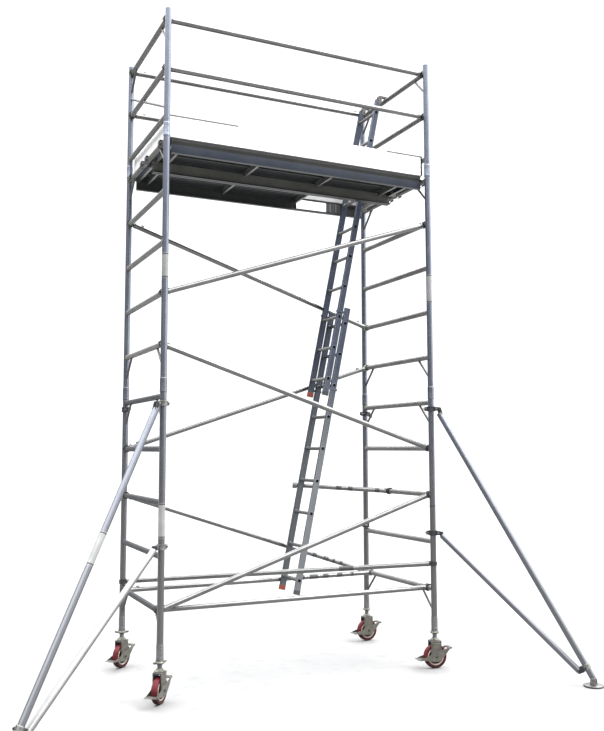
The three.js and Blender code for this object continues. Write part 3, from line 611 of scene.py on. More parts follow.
def cast_claw(shape, matrix, mouth, back, inner=24.4, outer=32.4, width=36.0, jaw=CASTING):
    """A hooked jaw with a rim, a spring latch across its mouth and a thumb trigger, drawn in its own plane."""
    local = Shape()
    local.use(jaw).prism(claw_outline(mouth, inner, outer - 2.2), width, lift(-width / 2), 1.4)
    for at in (-width / 2, width / 2 - 7):
        local.use(jaw).prism(claw_outline(mouth, outer - 4, outer, 0.92), 7, lift(at), 1.0)
    latch = claw_outline(mouth + PI, inner + 0.4, inner + 4.2, PI - 0.72, 8)
    local.use(PLASTIC).prism(latch, 20, lift(-10), 0.6)
    tip = V(math.cos(mouth + 0.95), math.sin(mouth + 0.95), 0) * (outer - 3)
    local.use(STEEL).rod(tip - V(0, 0, width / 2 - 1), tip + V(0, 0, width / 2 - 1), 4, 12, 1)
    away = V(math.cos(back), math.sin(back), 0)
    up = V(-away.y, away.x, 0)
    if up.y < 0:
        up = -up
    stem = [away * 30 + up * 16, away * 40 + up * 24, away * 54 + up * 24.5]
    local.use(PLASTIC).wire(stem, 3.6, 8)
    shape.merge(local, matrix)


def neck(shape, at, away, radius):
    """The pressed end of the tube where it closes round the jaw, with two rows of crimps."""
    base = at + away * 31
    profile = [(0, 0), (radius * 0.82, 0), (radius + 0.2, 4), (radius + 0.9, 8), (radius + 0.9, 26),
               (radius + 0.3, 29), (0, 29)]
    shape.use(TUBE).lathe(profile, base, away, 30)
    side = away.cross(Z).normalized()
    up = side.cross(away).normalized()
    for distance in (12, 22):
        for axis in (up, -up, side, -side):
            shape.use(STEEL).rivet(base + away * distance + axis * (radius + 0.4), axis, 3.6)


# Where the ladder's shadow is painted on the braces as dark bands: (distance from the first end, length) in
# millimetres.
LADDER_SHADOW_BANDS = {"rear_brace_lower": ((1890, 44), (2010, 26), (2040, 26), (2110, 30), (2190, 34)),
              "rear_horizontal": ((1620, 70), (1740, 90), (1880, 60), (2030, 60), (2180, 30)),
              "plan_brace": ((1870, 125),), "ladder_stay": ((96, 44), (350, 46), (456, 54))}


def ladder_shadow_bands(shape, name, start, along):
    """Painted shadow: dark bands round a tube where the ladder's shadow falls on it."""
    for distance, length in LADDER_SHADOW_BANDS.get(name, ()):
        profile = [(BRACE_R - 0.6, 0), (BRACE_R - 0.05, 0.3), (BRACE_R - 0.05, length - 0.3), (BRACE_R - 0.6, length)]
        shape.use(PLASTIC).lathe(profile, start + along * distance, along, 28, closed=True)


def claw_brace(name, y, left_z, right_z):
    shape = Shape()
    left, right = V(0, y, left_z), V(LENGTH, y, right_z)
    along = (right - left).normalized()
    slope = math.atan2(along.z, along.x)
    shape.use(TUBE).tube(left + along * 44, right - along * 44, BRACE_R - 0.3, BRACE_R - 3, 32)
    ladder_shadow_bands(shape, name, left, along)
    # The rear braces' right-hand jaws take the lighter casting: painted light.
    right_jaw = LIT_CASTING if name.startswith("rear") else CASTING
    for at, away, mouth, back, jaw in ((left, along, slope - PI * 0.72, slope, CASTING),
                                       (right, -along, slope - PI * 0.28, slope + PI, right_jaw)):
        neck(shape, at, away, BRACE_R)
        cast_claw(shape, facing_front(at.x, y, at.z, 0), mouth, back, jaw=jaw)
        if right_jaw == LIT_CASTING:
            tab = Shape()
            tab.use(LIT_CASTING).box((98, -9, BRACE_R - 3), (122, 9, BRACE_R + 11), 1.6)
            tilt = Matrix.Rotation(-slope, 4, "Y") @ Matrix.Rotation(0 if away is along else PI, 4, "Z")
            shape.merge(tab, Matrix.Translation(at) @ tilt)
    piece(name + "_tube_and_claws", shape, "tower", BRACE_MATERIALS, [name])


def build_braces():
    rear = WIDTH
    for name, y, left, right in (
        ("front_brace_lower", LANE1, 0, 2), ("front_brace_middle", LANE1, 5, 3), ("front_brace_upper", LANE1, 6, 8),
        ("rear_brace_lower", rear - LANE1, 2, 0), ("rear_brace_middle", rear - LANE1, 3, 5),
        ("rear_brace_upper", rear - LANE1, 8, 6), ("front_horizontal", LANE2, 0, 0),
                                 ("rear_horizontal", rear - LANE2, 0, 0),
        ("front_guard_rail_middle", LANE1, 10.5, 10.5), ("front_guard_rail_top", LANE1, 11.5, 11.5),
        ("rear_guard_rail_middle", rear - LANE1, 10.5, 10.5), ("rear_guard_rail_top", rear - LANE1, 11.5, 11.5),
    ):
        claw_brace(name, y, rung(left), rung(right))

    shape = Shape()
    start, end = V(0, WIDTH, 724), V(LENGTH, 0, 874)
    along = (end - start).normalized()
    heading = math.atan2(along.y, along.x)
    shape.use(TUBE).tube(start + along * 48, end - along * 48, BRACE_R - 0.3, BRACE_R - 3, 32)
    ladder_shadow_bands(shape, "plan_brace", start, along)
    for at, away, mouth in ((start, along, heading + PI), (end, -along, heading)):
        neck(shape, at + away * 4, away, BRACE_R)
        cast_claw(shape, Matrix.Translation(at), mouth, math.atan2(away.y, away.x), 28.2, 39.2)
    piece("plan_brace_tube_and_hooks", shape, "tower",
          BRACE_MATERIALS, ["plan_brace"])

    shape = Shape()
    start, end = V(LENGTH, 715, rung(2)), V(1604, 1136, 1517)
    along = (end - start).normalized()
    shape.use(TUBE).tube(start + along * 44, end, BRACE_R - 0.3, BRACE_R - 3, 32)
    ladder_shadow_bands(shape, "ladder_stay", start, along)
    neck(shape, start, along, BRACE_R)
    cast_claw(shape, facing_front(start.x, start.y, start.z, 0), -PI * 0.28, PI)
    shape.use(PLASTIC).lathe([(0, -16), (19, -16), (20.4, -12), (20.4, 0), (21.6, 0), (22.4, 1.5), (21.4, 4), (0, 5)],
                             end - along * 2,
                       along, 28)
    # The clamp ring takes the lighter casting: painted light.
    clamp_at = start + along * 878
    shape.use(LIT_CASTING).lathe([(20.9, 0), (29, 0), (31, 2), (31, 12), (28.5, 14), (28.5, 26), (31, 28), (31, 38),
                           (29, 40), (20.9, 40)],
                       clamp_at, along, 30, closed=True)
    shape.use(CASTING).box((1624, 1058.6, 1481), (1667, 1066, 1539), 1.5)
    shape.use(CASTING).box((1624, 1064, 1483), (1634, 1090, 1537), 1.5)
    shape.use(CASTING).box((1657, 1064, 1483), (1667, 1090, 1537), 1.5)
    shape.use(STEEL).bolt(V(1657, 1078, 1532) + V(10, 0, 0), X, 6, 5)
    shape.use(STEEL).bolt(V(1645, 1072, 1481), -Z, 7, 6)
    piece("ladder_stay_tube_and_clamp", shape, "tower",
          BRACE_MATERIALS, ["ladder_stay"])


# ---------------------------------------------------------------- platform
DECK_MATERIALS = ["deck_beam_alloy", "deck_rail_upper", "deck_lip_alloy", "cross_member_alloy", "screw_steel",
                  "stiffener_alloy", "lit_cast_alloy", "dark_casting", "shaded_inner_beam_alloy", "toe_board_paint",
                  "lit_mid_beam_alloy"]
BEAM, BAND, LIP, MEMBER, FIXING, STIFFENER, LIT_HOOK, DARK_HOOK_AND_SHADE, SHADED_INNER, SUNLIT_PATCH, LIT_MID_BEAM = range(11)


def deck_beam(shape, outer_y, inward, x0, x1, upper, lower):
    """A channel-section side beam, open inward, in three bands: lip, set-back upper band, lower face, under a dark
    top strip that is painted shade of the gap below the toe board.
    """
    def part(mat, points):
        outline = ccw([(outer_y + inward * a, b) for a, b in points])
        shape.use(mat).prism(outline, x1 - x0, plane_yz(x0), 0.8)

    part(upper, [(1.8, 4246), (5, 4246), (5, 4274), (1.8, 4274)])
    # Painted shade: the dark top strip stands for the shadowed gap under the toe board.
    part(DARK_HOOK_AND_SHADE, [(1.8, 4273), (5, 4273), (5, 4280), (27.5, 4280), (27.5, 4288), (0.4, 4288), (0.4, 4279),
                     (1.8, 4279)])
    part(lower, [(0, 4180), (5, 4180), (5, 4246.5), (0.8, 4246.5), (0, 4245)])
    part(LIP, [(0, 4176), (27.5, 4176), (27.5, 4188), (24.6, 4188), (24.6, 4179.6), (5, 4179.6), (5, 4181),
               (0, 4180.4)])


def deck_hook(shape, y, end_x, outward, casting):
    """A cast hook over the end rung with a safety catch."""
    far = end_x + outward * 96
    top, tip, under = 4286.0, 4236.0, rung(9) + RUNG_R + 1
    heel = end_x + outward * 35.5
    points = [(end_x - outward * 4, top), (far - outward * 10, top), (far - outward * 2.5, top - 4), (far, top - 14),
              (far, tip + 4),
              (far - outward * 3, tip), (far - outward * 8, tip), (far - outward * 9, under - 8),
              (far - outward * 16, under),
              (heel + outward * 5, under), (heel, under - 6), (heel, 4250), (heel - outward * 5, 4243),
              (heel - outward * 18, 4241), (end_x - outward * 4, 4250)]
    shape.use(casting).prism(ccw(points), 46, facing_front(0, y, 0, 46), 1.0)
    for dy in (-16, 16):
        shape.use(FIXING).rivet(V(end_x + outward * 2, y + dy, top), Z, 4)
    shape.use(DARK_HOOK_AND_SHADE).rod(V(far - outward * 4, y - 27, tip + 8), V(far - outward * 4, y + 27, tip + 8), 3.6, 12, 1)
    shape.use(DARK_HOOK_AND_SHADE).wire([V(far - outward * 4, y + 25, tip + 8), V(far - outward * 16, y + 27, tip - 6),
                             V(far - outward * 36, y + 27, tip - 4), V(far - outward * 44, y + 25, tip + 6)], 2.6, 8)


def deck(name, span, crossings, hatch=False):
    front, rear = span
    shape = Shape()
    x0, x1 = 50, LENGTH - 50
    # The hatch deck's beams are in painted shade; the front deck's rear beam is painted lit.
    deck_beam(shape, front, 1, x0, x1, *((SHADED_INNER, SHADED_INNER) if hatch else (BAND, BEAM)))
    deck_beam(shape, rear, -1, x0, x1, *((SHADED_INNER, SHADED_INNER) if hatch else (LIT_MID_BEAM, LIT_MID_BEAM)))
    for x, sign in ((x0 + 1, 1), (x1 - 1, -1)):
        shape.use(BEAM).box((x, front + 6, 4249), (x + sign * 5, rear - 6, 4286), 1)
        shape.use(MEMBER).box((x, front + 6, 4249), (x + sign * 28, rear - 6, 4253), 1)
    for x in crossings:
        for lo, hi, z0, z1 in ((x + 2, x + 22, 4236, 4240), (x + 10, x + 14, 4238, 4284), (x, x + 24, 4280, 4285)):
            shape.use(MEMBER).box((lo, front + 25, z0), (hi, rear - 25, z1), 0.8)
        for y in (front + 28.5, rear - 28.5):
            for dz in (4250, 4270):
                shape.use(FIXING).rivet(V(x + 14, y, dz), X, 4)
    for x in [x0 + 14] + list(crossings) + [x1 - 14]:
        for dz in (4204, 4228, 4262):
            shape.use(BEAM).rivet(V(x + 8, front + (0.6 if dz < 4240 else 1.9), dz), -Y, 4.4)
            shape.use(SHADED_INNER).rivet(V(x + 8, rear - (0.6 if dz < 4240 else 1.9), dz), Y, 4.4)
    for k in (1, 2):
        y = front + 28 + (rear - front - 56) * k / 3
        stop = HATCH[0] - 24 if hatch else x1 - 30
        shape.use(STIFFENER).box((x0 + 30, y - 3, 4276), (stop, y + 3, 4287.6), 0.6)
        shape.use(STIFFENER).box((x0 + 30, y - 8, 4275), (stop, y + 8, 4277.5), 0.5)
    if hatch:
        # Under the open hatch: a white sheet on the rear beam is a painted patch of sunlight, and the dark plates
        # beside it and on the front beam are painted shadow.
        shape.use(SUNLIT_PATCH).box((1626, rear - 30, 4192), (1950, rear - 27.8, 4280), 0.6)
        shape.use(DARK_HOOK_AND_SHADE).box((1952, rear - 31, 4190), (2108, rear - 27.8, 4282), 0.6)
        shape.use(DARK_HOOK_AND_SHADE).box((1926, front + 29, 4214), (2010, front + 32, 4270), 0.6)
        for x in (1992, 2056):
            shape.use(MEMBER).box((x, rear - 33, 4194), (x + 7, rear - 30.6, 4278), 0.5)
    for y in (front + 70, rear - 70):
        deck_hook(shape, y, x0 + 10, -1, DARK_HOOK_AND_SHADE)
        # The right-hand hooks take the lighter casting: painted light on the same part.
        deck_hook(shape, y, x1 - 10, 1, LIT_HOOK)
    piece(name + "_beams_and_hooks", shape, "tower", DECK_MATERIALS, [name])


BOARD_MATERIALS = ["ply_underside", "ply_edge_and_gap_shade", "deck_grip", "screw_steel"]
UNDERSIDE, PLIES, GRIP, SCREW = range(4)


def deck_board(name, low, high, hole=None):
    """Resin-faced plywood: a grip-pressed top layer, an edge of plies that is dark in itself and darkened further as
    painted shade of the gap under the toe boards, and a dark smooth underside.
    """
    shape = Shape()
    areas = [(low[0], low[1], high[0], high[1])]
    if hole:
        hx0, hy0, hx1, hy1 = hole
        areas = [(low[0], low[1], hx0, high[1]), (hx1, low[1], high[0], high[1]), (hx0, low[1], hx1, hy0),
                 (hx0, hy1, hx1, high[1])]
    for x0, y0, x1, y1 in areas:
        shape.use(UNDERSIDE).box((x0, y0, 4288.5), (x1, y1, 4291), 0.2)
        shape.use(PLIES).box((x0 + 0.5, y0 + 0.5, 4290.9), (x1 - 0.5, y1 - 0.5, 4297.6), 0.1)
        shape.use(GRIP).box((x0, y0, 4297.5), (x1, y1, 4300), 0.4)
    for x in range(int(low[0]) + 60, int(high[0]) - 20, 280):
        for y in (low[1] + 14, high[1] - 14):
            shape.use(SCREW).rivet(V(x, y, 4299.4), Z, 5)
    piece(name + "_panel", shape, "tower", BOARD_MATERIALS, [name])


def build_platform():
    deck("deck_frame_front", FRONT_DECK, (140, 852, 1556, 2212))
    deck("deck_frame_rear", REAR_DECK, (140, 852, HATCH[0] - 24, HATCH[1]), hatch=True)
    x0, x1 = 46, LENGTH - 46
    deck_board("deck_board_front", (x0, FRONT_DECK[0] - 2), (x1, FRONT_DECK[1]))
    deck_board("deck_board_rear", (x0, REAR_DECK[0]), (x1, REAR_DECK[1] + 2),
               (HATCH[0] - 4, REAR_DECK[0] + 31, HATCH[1], REAR_DECK[1] - 31))

    lid = Shape()
    hx, hz = HATCH[0] - 10, 4308.5
    y0, y1 = REAR_DECK[0] + 37, REAR_DECK[1] - 37
    lid.use(PLIES).box((hx - 671, y0 + 0.5, hz - 2.5), (hx - 10, y1 - 0.5, hz + 4.1), 0.2)
    lid.use(UNDERSIDE).box((hx - 672, y0, hz + 4), (hx - 9, y1, hz + 6.5), 0.4)
    lid.use(GRIP).box((hx - 672, y0, hz - 5), (hx - 9, y1, hz - 2.4), 0.4)
    lid.use(SCREW).lathe([(7.4, 0), (7.4, y1 - y0 - 42), (6.4, y1 - y0 - 41), (0, y1 - y0 - 41)], V(hx, y0 + 21, hz),
                         Y, 20)
    for k in range(5):
        y = y0 + 60 + k * (y1 - y0 - 150) / 4
        lid.use(SCREW).box((hx - 46, y, hz + 6), (hx + 1, y + 30, hz + 7.9), 0.5)
        lid.use(SCREW).rivet(V(hx - 32, y + 9, hz + 7.6), Z, 3.6)
        lid.use(SCREW).rivet(V(hx - 18, y + 21, hz + 7.6), Z, 3.6)
    grip = [V(hx - 630, y0 + a, hz + b) for a, b in ((170, 0), (170, 20), (174, 26), (182, 29), (278, 29), (286, 26),
                                                     (290, 20), (290, 0))]
    lid.use(SCREW).wire(grip, 4.6, 12)
    piece("trapdoor_lid", lid, "trapdoor", BOARD_MATERIALS, ["trapdoor"])

    far, right = WIDTH - 34, LENGTH - 34
    boards = {
        "toe_board_front": (V(32, 34, 0), V(right + 2, 52, 0), "x"),
              "toe_board_rear": (V(32, far - 18, 0), V(right + 2, far, 0), "x"),
        "toe_board_left": (V(34, 53, 0), V(52, far - 19, 0), "y"),
              "toe_board_right": (V(right - 18, 53, 0), V(right, far - 19, 0), "y"),
    }
    for name, (lo, hi, way) in boards.items():
        shape = Shape()
        section = rounded([(0, 4303), (18, 4303), (18, 4483), (0, 4483)], 5, 5)
        if way == "x":
            face, depth, matrix, starts, out = lo.y, hi.x - lo.x, plane_yz(lo.x), (lo.x + 60, hi.x - 94), -Y
        else:
            face, depth, matrix = lo.x, hi.y - lo.y, frame_matrix(V(0, hi.y, 0), X, Z, -Y)
            starts, out = (lo.y + 20, hi.y - 54), -X
        shape.use(0).prism([(face + a, b) for a, b in section], depth, matrix, 1.0)

        def spot(along, out_of, z):
            return (along, face + out_of, z) if way == "x" else (face + out_of, along, z)

        for start in starts:
            for z in (4330, 4440):
                shape.use(0).box(spot(start, -1.6, z), spot(start + 34, 0.4, z + 26), 0.6)
                for step in (10, 24):
                    shape.use(0).rivet(V(*spot(start + step, -1.2, z + 13)), out, 3.6)
        if name == "toe_board_front":
            for x0, x1 in ((lo.x, 610), (2010, hi.x)):
                shape.use(1).box((x0 + 0.5, lo.y - 1.6, 4471), (x1 - 0.5, lo.y + 4, 4482.8), 0.6)
            shape.use(2).box((hi.x - 15, lo.y - 1.6, 4304), (hi.x - 0.4, lo.y + 17, 4481), 0.8)
        paint = "toe_board_shade" if name == "toe_board_rear" else "toe_board_paint"
        piece(name + "_plank", shape, "tower", [paint, "toe_strip_paint", "deck_beam_alloy"], [name])


# ---------------------------------------------------------------- ladder
STILE, LIT_EDGE, STEP_METAL, WELD_RING, CAP, BORE_SHADE, SHADE = range(7)


def holed_cell(low, high, y0, y1, radius, closed_low, closed_high):
    """A plate in the ladder's (x, s) plane with a round hole in it, thickness along y."""
    half = STILE_HALF
    corners = [math.atan2(b, a) for a, b in ((half, high), (-half, high), (-half, low), (half, low))]
    angles = sorted(set([TAU * i / 24 - PI for i in range(24)] + corners))
    n = len(angles)

    def border(a):
        c, s = math.cos(a), math.sin(a)
        reach = min(half / abs(c) if abs(c) > 1e-9 else 1e9,
                    (high / s if s > 1e-9 else low / s if s < -1e-9 else 1e9))
        return c * reach, s * reach

    edge = [border(a) for a in angles]
    hole = [(radius * math.cos(a), radius * math.sin(a)) for a in angles]
    verts = []
    for y in (y0, y1):
        verts += [V(x, y, s) for x, s in edge]
        verts += [V(x, y, s) for x, s in hole]
    faces = []
    for i in range(n):
        j = (i + 1) % n
        faces.append([i, j, n + j, n + i])
        faces.append([2 * n + j, 2 * n + i, 3 * n + i, 3 * n + j])
        faces.append([n + i, n + j, 3 * n + j, 3 * n + i])
        ends = edge[i][1], edge[j][1]
        on_low = all(abs(s - low) < 1e-6 for s in ends)
        on_high = all(abs(s - high) < 1e-6 for s in ends)
        if (on_low and not closed_low) or (on_high and not closed_high):
            continue
        faces.append([j, i, 2 * n + i, 2 * n + j])
    return verts, faces


def ladder_section(name, body, foot_rung, count, tails, strap, rungs):
    """Stiles of open cells, rungs, end caps and straps; s runs along the stiles from the lowest rung."""
    foot = V(foot_rung[0], 0, foot_rung[1])
    along, across = V(math.sin(LEAN), 0, math.cos(LEAN)), V(math.cos(LEAN), 0, -math.sin(LEAN))
    matrix = frame_matrix(foot, across, Y, along)
    local = Shape()
    top = (count - 1) * LADDER_STEP + tails[1]
    # The front stile's lips take the lit edge colour (painted highlight); the rear stile is all in the shaded copy
    # (painted shade).
    for y0, y1, a, b, plate, lip in ((717, 738, 715, 740, STILE, LIT_EDGE), (1035, 1056, 1033, 1058, SHADE, SHADE)):
        for i in range(count):
            s = i * LADDER_STEP
            low = -LADDER_STEP / 2 if i else -tails[0]
            high = LADDER_STEP / 2 if i < count - 1 else tails[1]
            verts, faces = holed_cell(low, high, y0, y1, 15.2, i == 0, i == count - 1)
            local.use(plate).put([v + V(0, 0, s) for v in verts], faces)
        for side in (-1, 1):
            x0, x1 = sorted((side * STILE_HALF, side * 22))
            outline = rounded([(x0, a), (x1, a), (x1, b), (x0, b)], 1.6, 3)
            local.use(lip).prism(outline, top + tails[0], lift(-tails[0]), 0.8)
    ridge = ribbed(12, 0.45)
    for i in range(count):
        s = i * LADDER_STEP
        local.use(STEP_METAL).ring(11, 14.4, 333, V(0, 720, s), Y, 48)
        local.use(STEP_METAL).lathe([(13.9, 0), (14.9, 0.5), (14.9, 294.5), (13.9, 295)], V(0, 739, s), Y, 48, True,
                                    ridge)
        # Rims on the rung ends in the lit edge colour: painted highlight.
        for y, way in ((717, -1), (1056, 1)):
            local.use(LIT_EDGE).lathe([(15, 0), (17.6, 0), (17.6, 0.8), (16.4, 1.6), (15, 1.6)], V(0, y, s), V(0, way, 0),
                                  28, True)
        # A black disc just inside each open rung end: painted shade of the hollow.
        for y in (717.4, 1053.2):
            local.use(BORE_SHADE).rod(V(0, y, s), V(0, y + 2.4, s), 14.9, 24, 0.2)
        for y, way in ((738, 1), (1035, -1)):
            local.use(WELD_RING).lathe([(14.6, 0), (18.8, 0), (18.8, 1.2), (16.4, 3.2), (14.6, 3.2)], V(0, y, s),
                                       V(0, way, 0), 28, True)
    foot_caps(local, tails[0])
    guide(local, *strap)
    for y0, y1 in ((716, 739), (1034, 1057)):
        local.use(SHADE).box((-26, y0, top - 1), (26, y1, top + 3), 0.8)
    piece(name + "_stiles_and_rungs", local, body,
          ["ladder_alloy", "ladder_lit_edge_alloy", rungs, "weld_metal", "cap_orange", "rung_bore_shade",
           "ladder_shade_alloy"],
          [name], matrix)


def foot_caps(local, tail):
    """A dull shoe on the front stile and a red one on the rear stile."""
    for y0, y1, mat in ((713.2, 741, SHADE), (1032, 1059.6, CAP)):
        outline = rounded([(-29.5, y0), (29.5, y0), (29.5, y1), (-29.5, y1)], 4)
        local.use(mat).prism(outline, 42, lift(-tail), 2)


def guide(local, s, reach):
    """Bent straps that keep two ladder sections together, one on each stile."""
    for y, way in ((712.4, -1), (1060.6, 1)):
        local.use(STILE).box((-20, y, s), (reach, y - way * 2.2, s + 20), 0.8)
        local.use(STILE).box((reach, y, s), (reach + math.copysign(4, reach), y - way * 24, s + 20), 0.8)
        local.use(WELD_RING).rivet(V(0, y, s + 10), V(0, way, 0), 4)


def build_ladder():
    # The lower section's rungs take the shaded rung colour: painted shade.
    ladder_section("ladder_lower_section", "tower", (1470, 692), 9, (124, 146), (2470, -104), "shaded_low_rung_alloy")
    ladder_section("ladder_upper_section", "ladder_upper", (1769, 2506), 10, (160, 130), (-100, 104), "rung_alloy")

    hooks = Shape()
    outline = rounded([(2322, 5226), (2365, 5226), (2374, 5284), (2382, 5289.5), (2430, 5289.5), (2437, 5282),
                       (2438, 5262),
                       (2449.5, 5262), (2449.5, 5292), (2436, 5308), (2348, 5308), (2330, 5296)], 4)
    for y in (716, 1034):
        for start in (y, y + 18):
            hooks.use(0).prism(outline, 5, facing_front(0, start + 2.5, 0, 5), 1.0)
        inner = rounded([(2330, 5232), (2358, 5232), (2368, 5290), (2380, 5295), (2376, 5303), (2352, 5303),
                         (2336, 5292)], 3)
        hooks.use(0).prism(inner, 16, facing_front(0, y + 11.5, 0, 16), 0.8)
        hooks.use(0).box((2362, y, 5303), (2442, y + 23, 5308), 1)
        for x, z in ((2336, 5240), (2343, 5262)):
            hooks.use(1).bolt(V(x, y, z), -Y, 6, 5)
    piece("ladder_top_hooks", hooks, "ladder_upper", ["ear_alloy", "screw_steel"])


# ---------------------------------------------------------------- casters
def thread(shape, low, high, radius, pitch):
    """A wire wound up a screw as its thread."""
    turns = (high - low) / pitch
    count = int(turns * 12)
    points = [V(radius * math.cos(TAU * turns * i / count), radius * math.sin(TAU * turns * i / count),
                low + (high - low) * i / count) for i in range(count + 1)]
    shape.wire(points, 1.7, 5)


def caster(corner, x, y, turn, nut_turn):
    place = turn_z(turn, x, y)

    leg = Shape()
    leg.use(0).lathe([(0, 243), (17.6, 243), (17.6, 686), (16, 690), (0, 690)], ZERO, Z, 24)
    thread(leg, 256, 684, 17.6, 7)
    leg.use(1).lathe([(0, 233), (38, 233), (40, 234.2), (40, 236.4), (38, 238), (34, 240), (27, 247), (23, 251),
                      (22, 254),
                      (17.4, 255), (0, 255)], ZERO, Z, 36)
    piece(f"screw_leg_{corner}", leg, f"leg_{corner}", ["screw_steel", "zinc_plate"],
          [f"caster_leg_{corner}"], place)

    nut = Shape()
    nut.use(0).lathe([(20.8, 286), (26, 286), (33, 290), (38, 295.5), (38, 298), (35, 303), (29.5, 308), (28.5, 316),
                      (27.5, 318),
                      (20.8, 318)], ZERO, Z, 32, closed=True)
    for side in (-1, 1):
        points = [(side * 26, 289), (side * 50, 290), (side * 58, 295), (side * 60, 303), (side * 54, 309),
                  (side * 44, 304),
                  (side * 26, 307)]
        nut.use(0).prism(rounded(ccw(points), 4), 10, facing_front(0, 0, 0, 10), 2.4)
    piece(f"bell_nut_{corner}", nut, f"nut_{corner}", ["nut_zinc"], [f"leg_nut_{corner}"],
          turn_z(nut_turn, x, y))

    fork = Shape()
    roof = rounded([(-47.6, -36.6), (47.6, -36.6), (47.6, 36.6), (-47.6, 36.6)], 5)
    fork.use(1).prism(roof, 7.4, lift(224.4), 1.6)
    for side in (-1, 1):
        cheek = rounded([(-47.5, 228), (-47.5, 110), (-38, 81), (-20, 65), (20, 65), (38, 81), (47.5, 110),
                         (47.5, 228)], 4)
        fork.use(0).prism(cheek, 4, facing_front(0, side * 33, 0, 4), 1)
        ridge = rounded([(-34, 210), (-34, 128), (-20, 116), (20, 116), (34, 128), (34, 210)], 8)
        fork.use(0).prism(ridge, 2.4, facing_front(0, side * 35.2, 0, 2.4), 1.1)
        fork.use(0).box((-46, side * 31, 219), (46, side * 37, 226), 1.5)
        fork.use(4).bolt(V(0, side * 43.4, 100), V(0, side, 0), 9, 7)
        fork.use(3).rod(V(0, side * 34, 100), V(0, side * 44, 100), 7.8, 18, 0.5)
    fork.use(3).rod(V(0, -36, 100), V(0, 36, 100), 7.6, 18, 1)
    # A black liner under the crown, its black also standing in for the shade of the recess over the tyre: painted
    # shade.
    crown_liner_and_shade = [(-30.2, 224), (-30.2, 158), (-27.4, 158), (-27.4, 219), (27.4, 219), (27.4, 158), (30.2, 158),
             (30.2, 224)]
    fork.use(2).prism(crown_liner_and_shade, 96, plane_yz(-47), 0.6)
    for a in (45, 135, 225, 315):
        fork.use(3).rivet(V(56 * math.cos(math.radians(a)), 43 * math.sin(math.radians(a)), 231), Z, 4)
    piece(f"fork_{corner}_pressing", fork, f"fork_{corner}",
          ["zinc_plate", "zinc_bright", "trigger_plastic", "screw_steel", "axle_steel"], [f"caster_fork_{corner}"],
          place)

    wheel = Shape()
    centre = V(0, 0, 100)
    wheel.use(0).lathe([(72, -20), (88, -22.4), (94, -22.6), (98, -20), (99.6, -15), (100, -6), (100, 6), (99.6, 15),
                        (98, 20),
                        (94, 22.6), (88, 22.4), (72, 20)], centre, Y, 56, closed=True)
    wheel.use(1).lathe([(63, -18), (66, -21.6), (71, -21.8), (74, -20), (74, 20), (71, 21.8), (66, 21.6), (63, 18)],
                       centre, Y, 48,
                       closed=True)
    wheel.use(2).lathe([(9.4, -27.8), (21, -27.8), (23, -26), (24, -16), (58, -10), (61, -12), (64, -17), (64, 17),
                        (61, 12),
                        (58, 10), (24, 16), (23, 26), (21, 27.8), (9.4, 27.8)], centre, Y, 40, closed=True)
    for k in range(8):
        rib = Shape()
        rib.use(2).box((22, -17, -2.2), (59, 17, 2.2), 1)
        wheel.merge(rib, Matrix.Translation(centre) @ Matrix.Rotation(TAU * k / 8, 4, "Y"))
    for y in (-28.6, 27):
        wheel.use(3).ring(9.3, 16, 1.6, V(0, y, 100), Y, 24)
    piece(f"wheel_{corner}_tyre_and_rim", wheel, f"wheel_{corner}",
          ["tread_urethane", "rim_nylon", "tread_core", "screw_steel"], [f"caster_wheel_{corner}"], place)

    brake = Shape()
    for side in (-1, 1):
        arm = rounded([(140, 78), (138, 90), (60, 112), (40, 140), (-40, 150), (-114, 173), (-122, 162), (-84, 116),
                       (-30, 62),
                       (20, 60)], 4)
        with_hole(brake, ccw(arm), side * 41, 3.2)
    pedal = rounded([(112, -48), (164, -48), (172, -38), (172, 38), (164, 48), (112, 48)], 8)
    brake.use(2).prism(pedal, 3.4, lift(80.4), 1)
    for side in (-1, 1):
        brake.use(2).box((112, side * 48, 76), (160, side * 44, 82), 1)
    for k in range(5):
        brake.use(2).box((124 + 9 * k, -38, 83.4), (127.5 + 9 * k, 38, 84.6), 0.5)
    brake.use(1).box((-142, -40, 158), (-116, 40, 174), 4)
    brake.use(0).box((-124, -42, 160), (-112, 42, 172), 2)
    piece(f"brake_{corner}_pedals", brake, f"brake_{corner}",
          ["zinc_plate", "trigger_plastic", "zinc_bright"],
          [f"caster_brake_{corner}"], place)


def with_hole(shape, outline, y, thick, hole=9.3, centre=(0, 100)):
    """An arm with a round eye in it: the plate is cut in two halves that meet at the eye."""
    count = len(outline)
    steps = 24
    circle = arc(hole, 0, TAU * (steps - 1) / steps, steps - 1, centre)

    def nearest(point, ring):
        return min(range(len(ring)), key=lambda i: (Vector(ring[i]) - Vector(point)).length)

    right = max(range(count), key=lambda i: outline[i][0] - abs(outline[i][1] - 85) * 0.2)
    left = min(range(count), key=lambda i: outline[i][0])
    a, b = nearest(outline[right], circle), nearest(outline[left], circle)

    def walk(ring, start, stop):
        out = [ring[start]]
        i = start
        while i != stop:
            i = (i + 1) % len(ring)
            out.append(ring[i])
        return out

    upper = walk(outline, right, left) + walk(circle, a, b)[::-1]
    lower = walk(outline, left, right) + walk(circle, b, a)[::-1]
    for part in (upper, lower):
        shape.use(0).prism(part, thick, facing_front(0, y, 0, thick), 0.0)
    ring_low = V(centre[0], y - thick / 2 - 0.8, centre[1])
    shape.use(0).lathe([(hole, 0), (hole + 6, 0), (hole + 7, 1), (hole + 7, thick + 0.6), (hole + 6, thick + 1.6),
                        (hole, thick + 1.6)],
                       ring_low, Y, 26, closed=True)


